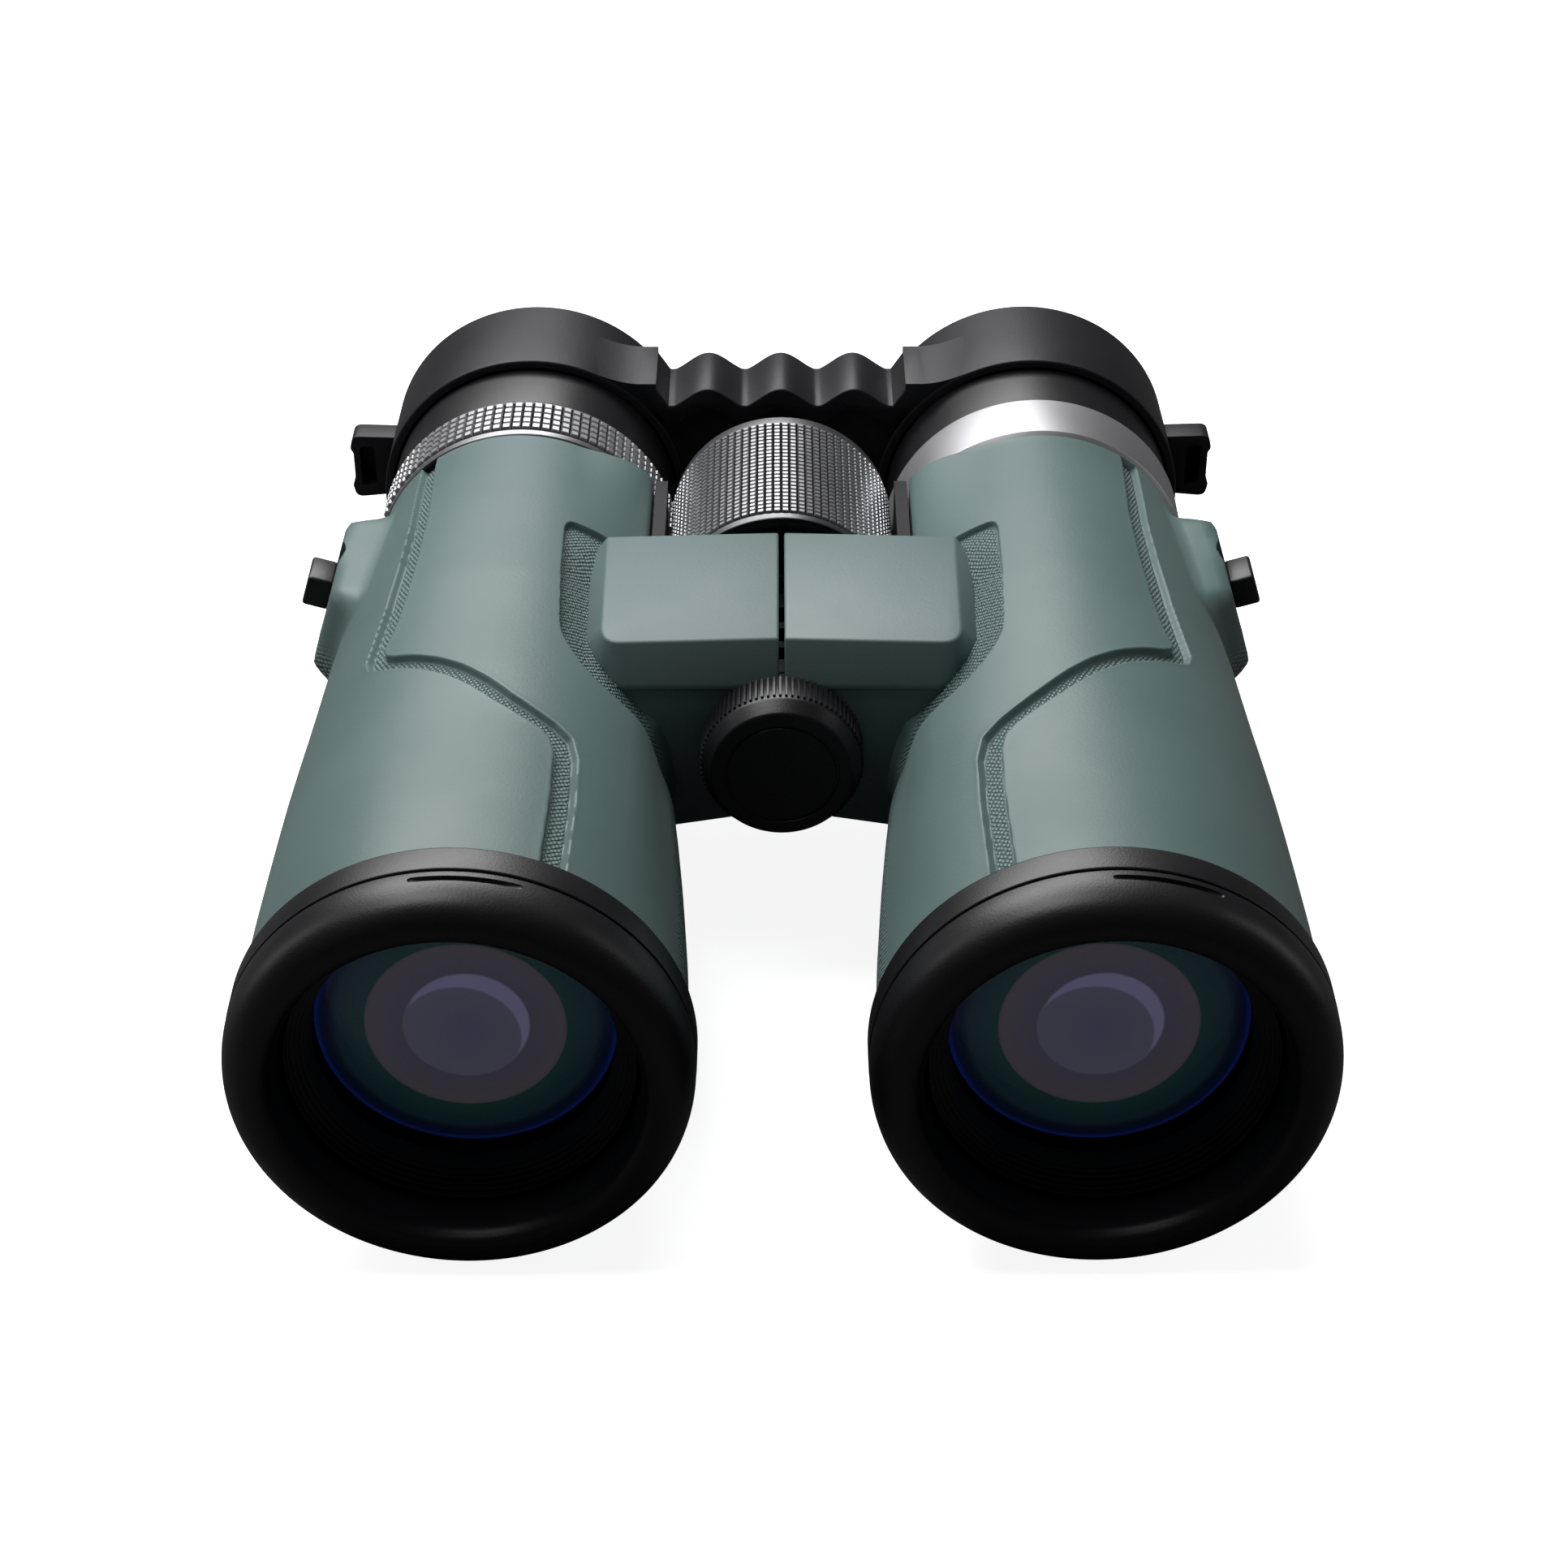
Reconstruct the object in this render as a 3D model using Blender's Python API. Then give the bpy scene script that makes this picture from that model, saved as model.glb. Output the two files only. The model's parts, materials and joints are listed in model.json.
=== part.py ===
"""Roof-prism binoculars with a rain guard, lying on their underside.

The optical axes run along Y, with the objectives at -Y and the eyepieces at +Y.
Lengths are in millimetres and become metres when a mesh is made. Stations along
a barrel are counted from the seam behind the objective bezel, and heights from
the optical axes.
"""

import math

import bmesh
import bpy
from mathutils import Matrix, Vector

MM = 0.001

# Driving dimensions
HALF_SPREAD = 35.5  # optical axis to the middle, barrels fully spread
HINGE_RISE = 7.0  # hinge line above the optical axes
FRONT = -6.5  # front rim of the bezels
REAR = 149.5  # back wall of the rain guard
BEZEL_R = 26.0
ARMOUR_LINE = [(4.5, 25.2), (32.0, 24.85), (61.0, 23.65), (90.0, 21.9), (109.5, 20.3)]
ARMOUR_WALL = 1.5
CHASSIS_DROP = 1.8  # chassis surface below the armour surface
CAVITY_DROP = 4.0  # barrel bore below the armour surface
GAP = 0.3

BRIDGE_FRONT = 55.9
BRIDGE_REAR = 82.0
BRIDGE_TOP = 14.7
BRIDGE_BOTTOM = -5.0
MID_GAP = 0.35  # half of the gap between the two halves of the bridge
FOLD_RELIEF = math.radians(27.0)  # each half is cut back this far under the hinge
KNUCKLE_R = 6.8
KNUCKLES = {-1: [(50.0, 58.6), (78.5, 90.0)], 1: [(58.9, 62.0), (74.6, 78.2)]}
COVER_TOP = 20.5
COVER_REACH = 24.3

WHEEL_R = 14.8
WHEEL_FRONT = 83.4
WHEEL_REAR = 111.5
SPOOL_MID = 68.2
FORK_TIP = 4.7  # fork tip to the hinge line

GUARD_R = 21.8
GUARD_FRONT = 129.2
GUARD_BORE = 20.6
WEB_SPAN = (129.3, 141.4)
WEB_PITCH = 10.4
WEB_VALLEY = 14.5
WEB_RIDGE = 17.1
WEB_THICK = 2.2
TAB_TOP = 18.1
TAB_REACH = 17.9  # where the corrugations start, from the middle

BOSS_LIFT = math.radians(16.0)  # strap boss above the horizontal
BOSS_STATION = 91.0

ROUND = 40
SMALL_ROUND = 24
SIDES = {-1: "left", 1: "right"}
AXIS_DISTANCE = math.hypot(HALF_SPREAD, HINGE_RISE)
HINGE_SLOPE = math.atan2(HINGE_RISE, HALF_SPREAD)
MIDDLE = (FRONT + REAR) / 2

MATERIALS = {
    "armour": ((0.22, 0.30, 0.28), 0.62, 0.0),
    "black_plastic": ((0.025, 0.025, 0.028), 0.45, 0.0),
    "black_rubber": ((0.03, 0.03, 0.033), 0.55, 0.0),
    "magnesium": ((0.12, 0.12, 0.125), 0.5, 0.6),
    "satin_metal": ((0.62, 0.62, 0.64), 0.3, 1.0),
    "steel": ((0.5, 0.5, 0.52), 0.3, 1.0),
    "brass": ((0.7, 0.55, 0.3), 0.3, 1.0),
    "glass": ((0.25, 0.3, 0.4), 0.05, 0.0),
}


def clear_scene():
    for obj in list(bpy.data.objects):
        bpy.data.objects.remove(obj)


def make_materials():
    made = {}
    for name, (colour, roughness, metallic) in MATERIALS.items():
        material = bpy.data.materials.new(name)
        material.use_nodes = True
        shader = material.node_tree.nodes["Principled BSDF"]
        shader.inputs["Base Color"].default_value = (*colour, 1.0)
        shader.inputs["Roughness"].default_value = roughness
        shader.inputs["Metallic"].default_value = metallic
        made[name] = material
    return made


def make_frames():
    """Empties on the two optical axes and on the hinge line."""
    frames = {}
    for key, x, z in (
        (-1, -HALF_SPREAD, 0.0),
        (1, HALF_SPREAD, 0.0),
        ("hinge", 0.0, HINGE_RISE),
    ):
        empty = bpy.data.objects.new(f"axis_{SIDES.get(key, key)}", None)
        empty.location = Vector((x, -MIDDLE, z + BEZEL_R)) * MM
        bpy.context.scene.collection.objects.link(empty)
        frames[key] = empty
    return frames


def armour_radius(station):
    """Radius of the armour at a station, straight between the stations of ARMOUR_LINE."""
    for (y0, r0), (y1, r1) in zip(ARMOUR_LINE, ARMOUR_LINE[1:]):
        if station <= y1:
            return r0 + (r1 - r0) * (station - y0) / (y1 - y0)
    return ARMOUR_LINE[-1][1]


def arc(middle, radius, start, end, steps):
    """Points of an arc in an outline, from one angle to another, in degrees."""
    angles = [math.radians(start + (end - start) * i / steps) for i in range(steps + 1)]
    return [
        (middle[0] + radius * math.cos(a), middle[1] + radius * math.sin(a)) for a in angles
    ]


def finish_mesh(bm, name):
    bmesh.ops.remove_doubles(bm, verts=bm.verts, dist=1e-7)
    bmesh.ops.recalc_face_normals(bm, faces=bm.faces)
    mesh = bpy.data.meshes.new(name)
    bm.to_mesh(mesh)
    bm.free()
    mesh.shade_smooth()
    mesh.set_sharp_from_angle(angle=math.radians(30))
    return mesh


def link(name, mesh, frame, material=None):
    obj = bpy.data.objects.new(name, mesh)
    bpy.context.scene.collection.objects.link(obj)
    obj.parent = frame
    if material is None:
        obj.hide_render = True
        obj.display_type = "WIRE"
    else:
        mesh.materials.append(material)
    return obj


def turned(name, outline, frame, material=None, segments=ROUND):
    """A solid turned about its frame's Y axis from an outline of (station, radius) points."""
    bm = bmesh.new()
    verts = [bm.verts.new((r * MM, y * MM, 0.0)) for y, r in outline]
    pairs = list(zip(verts, verts[1:]))
    if min(outline[0][1], outline[-1][1]) > 0.0:
        pairs.append((verts[-1], verts[0]))
    edges = [bm.edges.new(pair) for pair in pairs]
    bmesh.ops.spin(
        bm,
        geom=verts + edges,
        axis=(0, 1, 0),
        cent=(0, 0, 0),
        angle=2 * math.pi,
        steps=segments,
        use_merge=True,
    )
    return link(name, finish_mesh(bm, name), frame, material)


def extruded(name, outline, start, end, frame, material=None, plane="xz"):
    """A prism: an outline of (x, z) points drawn out along Y, or of (y, z) points along X."""
    bm = bmesh.new()
    if plane == "xz":
        corners = [(a * MM, start * MM, b * MM) for a, b in outline]
        travel = Vector((0.0, (end - start) * MM, 0.0))
    else:
        corners = [(start * MM, a * MM, b * MM) for a, b in outline]
        travel = Vector(((end - start) * MM, 0.0, 0.0))
    face = bm.faces.new([bm.verts.new(corner) for corner in corners])
    grown = bmesh.ops.extrude_face_region(bm, geom=[face])
    moved = [item for item in grown["geom"] if isinstance(item, bmesh.types.BMVert)]
    bmesh.ops.translate(bm, verts=moved, vec=travel)
    return link(name, finish_mesh(bm, name), frame, material)


def block(name, low, high, frame, material=None, turn=0.0, bevel=0.0):
    """A box between two corners, turned about the frame's Y axis."""
    bm = bmesh.new()
    bmesh.ops.create_cube(bm, size=1.0)
    low, high = Vector(low) * MM, Vector(high) * MM
    bmesh.ops.scale(bm, verts=bm.verts, vec=high - low)
    bmesh.ops.translate(bm, verts=bm.verts, vec=(high + low) / 2)
    if bevel:
        bmesh.ops.bevel(
            bm, geom=bm.edges, offset=bevel * MM, segments=1, profile=0.5, affect="EDGES"
        )
    bmesh.ops.rotate(bm, verts=bm.verts, matrix=Matrix.Rotation(turn, 3, "Y"))
    return link(name, finish_mesh(bm, name), frame, material)


def combine(obj, other, operation):
    modifier = obj.modifiers.new(other.name, "BOOLEAN")
    modifier.operation = operation
    modifier.solver = "EXACT"
    modifier.object = other


def cut(obj, cutter):
    combine(obj, cutter, "DIFFERENCE")


def fuse(obj, other):
    combine(obj, other, "UNION")


def follow_armour(drop, first, last):
    """Outline points that follow the armour line at a depth below it."""
    inside = [y for y, _ in ARMOUR_LINE if first < y < last]
    return [(y, armour_radius(y) - drop) for y in [first, *inside, last]]


def solid_under(outline):
    """Closes an open outline down to the axis at both ends."""
    return [(outline[0][0], 0.0), *outline, (outline[-1][0], 0.0)]


def mirrored(points, side):
    return [(side * x, z) for x, z in points]


def hinge_relief(side, reach, frame):
    """The wedge under the hinge line that leaves the other half room to fold."""
    bottom = HINGE_RISE + 6.0
    outer = bottom * math.tan(FOLD_RELIEF) + MID_GAP
    outline = [(-0.6, 0.0), (MID_GAP, 0.0), (outer, -bottom), (-0.6, -bottom)]
    return extruded(
        f"relief_{SIDES[side]}_{reach[0]:.0f}", mirrored(outline, side), *reach, frame
    )


def make_chassis(side, frames, materials):
    """Barrel tube with its half of the bridge and two knuckles of the hinge."""
    name, frame, hinge = SIDES[side], frames[side], frames["hinge"]
    outer = [(0.2, 22.6), (4.3, 22.6), *follow_armour(CHASSIS_DROP, 4.6, 109.2)]
    chassis = turned(f"{name}_chassis", solid_under(outer), frame, materials["magnesium"])
    reach = (BRIDGE_FRONT, BRIDGE_REAR)
    lower = BRIDGE_BOTTOM - HINGE_RISE
    upper = BRIDGE_TOP - HINGE_RISE
    inner = -lower * math.tan(FOLD_RELIEF) + MID_GAP
    outline = mirrored(
        [(MID_GAP, upper), (22.0, upper), (22.0, lower), (inner, lower), (MID_GAP, 0.0)], side
    )
    arm = extruded(f"{name}_arm", outline, *reach, hinge)
    start, end = reach
    barrel = [(start + 0.1, 0), (start + 0.1, KNUCKLE_R), (end - 0.1, KNUCKLE_R), (end - 0.1, 0)]
    fuse(arm, turned(f"{name}_knuckle", barrel, hinge, segments=32))
    edges = [start - 2.0, *[y for own in KNUCKLES[side] for y in own], end + 2.0]
    rooms = [pair for pair in zip(edges[::2], edges[1::2]) if start < pair[1] and pair[0] < end]
    for number, (first, last) in enumerate(rooms):
        radius = KNUCKLE_R + 0.4
        room = [(first, 0), (first, radius), (last, radius), (last, 0)]
        cut(arm, turned(f"{name}_knuckle_room_{number}", room, hinge))
    fuse(chassis, arm)
    bore = [(-1.0, 21.5), (14.7, 21.5), *follow_armour(CAVITY_DROP, 15.0, 104.0), (112.0, 16.6)]
    cut(chassis, turned(f"{name}_bore", solid_under(bore), frame))
    axle_bore = turned(
        f"{name}_axle_bore", [(50, 0), (50, 4.75), (90, 4.75), (90, 0)], hinge, segments=SMALL_ROUND
    )
    cut(chassis, axle_bore)
    slot = block(
        f"{name}_fork_slot",
        (5.0, SPOOL_MID - 3.4, -2.5),
        (AXIS_DISTANCE - 12.0, SPOOL_MID + 3.4, 2.5),
        hinge,
        turn=HINGE_SLOPE if side > 0 else math.pi - HINGE_SLOPE,
    )
    cut(chassis, slot)
    return chassis


def make_armour(side, frames, materials):
    """Rubber skin of a barrel, with the strap boss and the window for the bridge."""
    name, frame = SIDES[side], frames[side]
    first, last = ARMOUR_LINE[0][0], ARMOUR_LINE[-1][0]
    skin = solid_under(follow_armour(0.0, first, last))
    armour = turned(f"{name}_armour", skin, frame, materials["armour"])
    foot, plateau = 15.0, 26.3
    profile = [(72.0, foot), (77.0, plateau), (104.5, plateau), (108.5, foot)]
    bm = bmesh.new()
    corners = [bm.verts.new((x * MM, y * MM, -6.5 * MM)) for y, x in profile]
    grown = bmesh.ops.extrude_face_region(bm, geom=[bm.faces.new(corners)])
    top = [item for item in grown["geom"] if isinstance(item, bmesh.types.BMVert)]
    bmesh.ops.translate(bm, verts=top, vec=(0, 0, 13.0 * MM))
    turn_out(bm, side)
    fuse(armour, link(f"{name}_boss", finish_mesh(bm, f"{name}_boss"), frame))
    bm = bmesh.new()
    bmesh.ops.create_cone(
        bm,
        cap_ends=True,
        segments=SMALL_ROUND,
        radius1=6.2 * MM,
        radius2=6.2 * MM,
        depth=4.0 * MM,
        matrix=Matrix.Translation(Vector((26.2, BOSS_STATION, 0)) * MM)
        @ Matrix.Rotation(math.pi / 2, 4, "Y"),
    )
    turn_out(bm, side)
    cut(armour, link(f"{name}_recess", finish_mesh(bm, f"{name}_recess"), frame))
    cut(armour, post_block(f"{name}_post_hole", side, frame, 17.0, 24.8, 2.7, 1.9))
    # Windows in the barrel's own frame: the middle of the binoculars lies inward.
    inward = -side
    for label, reach, span, heights in (
        ("bridge_window", 10.8, (53.5, 83.3), (-5.4, 30.0)),
        ("wheel_window", 18.0, (81.0, 112.0), (-3.0, 29.0)),
    ):
        xs = sorted((inward * reach, inward * 36.0))
        window = block(
            f"{name}_{label}", (xs[0], span[0], heights[0]), (xs[1], span[1], heights[1]), frame
        )
        cut(armour, window)
    hollow = solid_under(follow_armour(ARMOUR_WALL, first - 1.0, last + 1.0))
    cut(armour, turned(f"{name}_hollow", hollow, frame))
    return armour


def turn_out(bm, side):
    """Turns a mesh drawn along +X to the strap boss's direction on its side."""
    bmesh.ops.rotate(bm, verts=bm.verts, matrix=Matrix.Rotation(-BOSS_LIFT, 3, "Y"))
    bmesh.ops.scale(bm, verts=bm.verts, vec=(side, 1, 1))
    bmesh.ops.recalc_face_normals(bm, faces=bm.faces)


def post_block(name, side, frame, inner, outer, half_length, half_height, material=None):
    bm = bmesh.new()
    bmesh.ops.create_cube(bm, size=1.0)
    size = Vector((outer - inner, 2 * half_length, 2 * half_height)) * MM
    bmesh.ops.scale(bm, verts=bm.verts, vec=size)
    place = Vector(((outer + inner) / 2, BOSS_STATION, 0)) * MM
    bmesh.ops.translate(bm, verts=bm.verts, vec=place)
    turn_out(bm, side)
    return link(name, finish_mesh(bm, name), frame, material)


def make_strap_post(side, frames, materials):
    """Neck through the armour and a wider head for the strap's connector."""
    name, frame = SIDES[side], frames[side]
    post = post_block(
        f"{name}_strap_post", side, frame, 20.9, 26.0, 2.3, 1.5, materials["black_plastic"]
    )
    fuse(post, post_block(f"{name}_post_head", side, frame, 25.8, 29.0, 2.8, 1.9))
    return post


def make_bridge_cover(side, frames, materials):
    """Green cover over one half of the bridge, with its wide chamfers."""
    name, hinge = SIDES[side], frames["hinge"]
    top, shelf = COVER_TOP - HINGE_RISE, BRIDGE_TOP + GAP - HINGE_RISE
    bottom = BRIDGE_BOTTOM - HINGE_RISE
    section = [
        (53.8, bottom),
        (53.8, 8.0),
        (57.0, top),
        (83.0, top),
        (83.0, shelf),
        (BRIDGE_FRONT - GAP, shelf),
        (BRIDGE_FRONT - GAP, bottom),
    ]
    xs = sorted((side * MID_GAP, side * COVER_REACH))
    cover = extruded(
        f"{name}_bridge_cover", section, *xs, hinge, materials["armour"], plane="yz"
    )
    edge = [(22.2, top + 0.5), (22.0, top), (25.0, top - 3.4), (27.0, top - 3.4), (27.0, top + 0.5)]
    cut(cover, extruded(f"{name}_cover_chamfer", mirrored(edge, side), 50, 90, hinge))
    hollow = solid_under(follow_armour(ARMOUR_WALL, 50.0, 90.0))
    cut(cover, turned(f"{name}_cover_seat", hollow, frames[side]))
    hole = turned(f"{name}_cover_hole", [(50, 0), (50, 8.2), (56, 8.2), (56, 0)], hinge)
    cut(cover, hole)
    cut(cover, hinge_relief(side, (50.0, 90.0), hinge))
    return cover


def make_cheek(side, frames, materials):
    """Rail beside the focus wheel, over the barrel's inner flank."""
    outline = [(15.5, 6.5), (17.2, 6.5), (17.2, 3.2), (16.3, 1.4), (15.5, -0.9)]
    return extruded(
        f"{SIDES[side]}_wheel_rail",
        mirrored(outline, side),
        WHEEL_FRONT,
        109.0,
        frames["hinge"],
        materials["magnesium"],
    )


def make_objective(side, frames, materials):
    """Collar, bezel, retaining ring and lens at the front of a barrel."""
    name, frame = SIDES[side], frames[side]
    collar = [(0.2, 22.9), (0.2, 26.0), (4.2, 26.0), (4.2, 22.9)]
    turned(f"{name}_collar", collar, frame, materials["black_plastic"])
    bezel = [(-0.1, 21.2), (-0.1, BEZEL_R), (-2.4, BEZEL_R)]
    bezel += [(-4.7, 25.2), (-6.1, 23.6), (FRONT, 22.2), (FRONT, 21.5), (-5.9, 20.7), (-4.9, 20.3)]
    bezel += [(5.0, 19.9), (14.0, 19.9), (14.0, 21.2)]
    turned(f"{name}_bezel", bezel, frame, materials["black_plastic"])
    ring = [(-0.6, 19.2), (-0.6, 19.6), (4.0, 19.6), (4.0, 16.9), (2.6, 17.2)]
    turned(f"{name}_retaining_ring", ring, frame, materials["black_plastic"])
    lens = [(2.4, 0), (2.8, 7.0), (4.3, 15.0), (5.4, 19.3), (11.5, 19.3), (12.6, 0)]
    turned(f"{name}_objective_lens", lens, frame, materials["glass"])


def make_focus_cell(side, frames, materials):
    """Focusing lens in its cell, whose fork reaches to the spool on the hinge line."""
    name, frame = SIDES[side], frames[side]
    ring = [(64.5, 14.6), (64.5, 18.4), (71.9, 18.4), (71.9, 14.6)]
    cell = turned(f"{name}_focus_cell", ring, frame, materials["magnesium"])
    turn = -HINGE_SLOPE if side < 0 else math.pi + HINGE_SLOPE
    fork = block(
        f"{name}_fork",
        (16.0, SPOOL_MID - 1.2, -2.0),
        (AXIS_DISTANCE - FORK_TIP, SPOOL_MID + 1.2, 2.0),
        frame,
        turn=turn,
    )
    fuse(cell, fork)
    lens = [(66.0, 0), (66.8, 14.2), (69.2, 14.2), (71.0, 0)]
    turned(f"{name}_focus_lens", lens, frame, materials["glass"])


def make_prism(side, frames, materials):
    name, frame = SIDES[side], frames[side]
    ring = [(77.5, 0), (77.5, 16.2), (104.0, 16.2), (104.0, 0)]
    mount = turned(f"{name}_prism_mount", ring, frame, materials["black_plastic"])
    half = 9.9
    cut(mount, block(f"{name}_prism_seat", (-half, 76, -half), (half, 106, half), frame))
    half -= GAP
    block(
        f"{name}_roof_prism",
        (-half, 79.0, -half),
        (half, 103.0, half),
        frame,
        materials["glass"],
        bevel=1.2,
    )


def make_eyepiece(side, frames, materials):
    """Housing, eyepiece lens, satin ring and the twist-up eyecup."""
    name, frame = SIDES[side], frames[side]
    black, rubber = materials["black_plastic"], materials["black_rubber"]
    housing = [(104.4, 13.6), (104.4, 16.2), (109.6, 16.2), (109.6, 18.2), (119.5, 18.2)]
    housing += [(119.5, 20.3), (131.4, 20.3), (131.4, 15.1), (138.4, 15.1), (138.4, 12.8)]
    housing += [(120.0, 12.8)]
    turned(f"{name}_eyepiece_housing", housing, frame, black)
    lens = [(127.0, 0), (128.5, 12.4), (135.5, 12.4), (137.4, 0)]
    turned(f"{name}_eyepiece_lens", lens, frame, materials["glass"])
    ring = [(109.9, 18.6), (109.9, 20.4), (110.4, 20.9), (119.2, 20.9), (119.2, 18.6)]
    ring_name = "diopter_ring" if side < 0 else "right_trim_ring"
    turned(ring_name, ring, frame, materials["satin_metal"])
    guide = [(131.7, 15.4), (131.7, 17.9), (134.3, 17.9), (134.3, 15.4)]
    turned(f"{name}_eyecup_guide", guide, frame, black)
    sleeve = [(134.6, 15.4), (134.6, 17.9), (140.0, 17.9), (140.0, 15.4)]
    turned(f"{name}_eyecup_sleeve", sleeve, frame, black)
    cup = [(131.8, 18.2), (131.8, 19.6), (141.2, 19.6), (142.0, 18.6), (142.0, 15.0)]
    cup += [(140.9, 13.8), (140.3, 13.8), (140.3, 18.2)]
    turned(f"{name}_eyecup", cup, frame, rubber)


def make_diopter_cell(frames, materials):
    ring = [(110.0, 11.6), (110.0, 12.5), (114.6, 12.5), (114.6, 11.6)]
    turned("diopter_cell", ring, frames[-1], materials["magnesium"])
    lens = [(111.2, 0), (111.0, 11.3), (113.0, 11.3), (114.0, 0)]
    turned("diopter_lens", lens, frames[-1], materials["glass"])


def web_top(x):
    """Height of the corrugations: round ridges between sharp valleys."""
    return WEB_VALLEY + (WEB_RIDGE - WEB_VALLEY) * abs(math.cos(math.pi * x / WEB_PITCH))


def make_guard(side, frames, materials):
    """One cup of the rain guard with its strap loop and its half of the bridge."""
    name, frame = SIDES[side], frames[side]
    cup = [(GUARD_FRONT, 0), (GUARD_FRONT, GUARD_R), (147.2, 21.6), (148.9, 20.9)]
    cup += [(REAR, 19.4), (REAR, 0)]
    guard = turned(f"{name}_guard", cup, frame, materials["black_rubber"])
    steps = 14
    xs = [GAP / 2 + (TAB_REACH - 2.3 - GAP / 2) * i / steps for i in range(steps + 1)]
    outline = [(x, web_top(x)) for x in xs]
    outline += [(TAB_REACH, TAB_TOP), (26.0, TAB_TOP), (26.0, TAB_TOP - 4.5)]
    outline += [(TAB_REACH, TAB_TOP - 4.5)]
    outline += [(x, web_top(x) - WEB_THICK) for x in reversed(xs)]
    outline = [(x, z - HINGE_RISE) for x, z in outline]
    web = extruded(f"{name}_web", mirrored(outline, side), *WEB_SPAN, frames["hinge"])
    loop_xs = sorted((side * 19.0, side * 28.0))
    loop = block(f"{name}_loop", (loop_xs[0], 139.0, -5.0), (loop_xs[1], 142.0, 5.2), frame)
    slot_xs = sorted((side * 24.3, side * 26.8))
    slot = block(f"{name}_loop_slot", (slot_xs[0], 137, -3.7), (slot_xs[1], 144, 3.8), frame)
    fuse(guard, web)
    fuse(guard, loop)
    cut(guard, slot)
    bore = [(GUARD_FRONT - 1, 0), (GUARD_FRONT - 1, GUARD_BORE), (147.8, GUARD_BORE), (147.8, 0)]
    cut(guard, turned(f"{name}_guard_bore", bore, frame))


def make_hinge(frames, materials):
    """Front axle with the tripod socket, rear axle sleeve, socket cap and its washer."""
    hinge = frames["hinge"]
    front = [(58.0, 0), (58.0, 2.9), (48.6, 2.9), (48.6, 4.4), (53.9, 4.4), (53.9, 7.8)]
    front += [(55.5, 7.8), (55.5, 4.4), (61.8, 4.4), (61.8, 0)]
    turned("tripod_socket_axle", front, hinge, materials["steel"], SMALL_ROUND)
    rear = [(74.8, 3.0), (74.8, 4.4), (81.9, 4.4), (81.9, 3.0)]
    turned("rear_axle_sleeve", rear, hinge, materials["brass"], SMALL_ROUND)
    cap = [(46.4, 0), (46.4, 8.9), (48.4, 10.0), (53.4, 10.0), (53.4, 8.3), (48.2, 8.3)]
    cap += [(48.2, 2.5), (56.5, 2.5), (56.5, 0)]
    turned("tripod_cap", cap, hinge, materials["black_plastic"], 32)
    washer = [(52.3, 4.8), (52.3, 8.0), (53.5, 8.0), (53.5, 4.8)]
    turned("tripod_cap_washer", washer, hinge, materials["black_rubber"], SMALL_ROUND)


def make_focus_drive(frames, materials):
    """Focus wheel, its screw, thrust washer, end cap and the spool that the screw moves."""
    hinge = frames["hinge"]
    wheel = [(WHEEL_FRONT, 3.0), (WHEEL_FRONT, 14.2), (84.0, WHEEL_R), (110.9, WHEEL_R)]
    wheel += [(WHEEL_REAR, 14.2), (WHEEL_REAR, 12.5), (86.0, 12.5), (86.0, 3.0)]
    turned("focus_wheel", wheel, hinge, materials["satin_metal"])
    screw = [(63.6, 0), (63.6, 2.6), (86.3, 2.6), (86.3, 5.5), (88.6, 5.5), (88.6, 0)]
    turned("focus_screw", screw, hinge, materials["steel"], SMALL_ROUND)
    cap = [(107.6, 0), (107.6, 12.2), (110.6, 12.2), (110.6, 0)]
    turned("focus_wheel_cap", cap, hinge, materials["black_plastic"], SMALL_ROUND)
    washer = [(82.3, 3.0), (82.3, 6.8), (83.1, 6.8), (83.1, 3.0)]
    turned("thrust_washer", washer, hinge, materials["brass"], SMALL_ROUND)
    spool = [(65.1, 3.0), (65.1, 6.6), (66.6, 6.6), (66.6, 4.3), (69.8, 4.3)]
    spool += [(69.8, 6.6), (71.3, 6.6), (71.3, 3.0)]
    turned("focus_spool", spool, hinge, materials["brass"], SMALL_ROUND)


def main():
    clear_scene()
    materials = make_materials()
    frames = make_frames()
    for side in SIDES:
        make_chassis(side, frames, materials)
        make_armour(side, frames, materials)
        make_strap_post(side, frames, materials)
        make_bridge_cover(side, frames, materials)
        make_cheek(side, frames, materials)
        make_objective(side, frames, materials)
        make_focus_cell(side, frames, materials)
        make_prism(side, frames, materials)
        make_eyepiece(side, frames, materials)
        make_guard(side, frames, materials)
    make_diopter_cell(frames, materials)
    make_hinge(frames, materials)
    make_focus_drive(frames, materials)


main()
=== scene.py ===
import json
import math

import bmesh
import bpy
import numpy as np
from mathutils import Matrix, Vector


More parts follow.
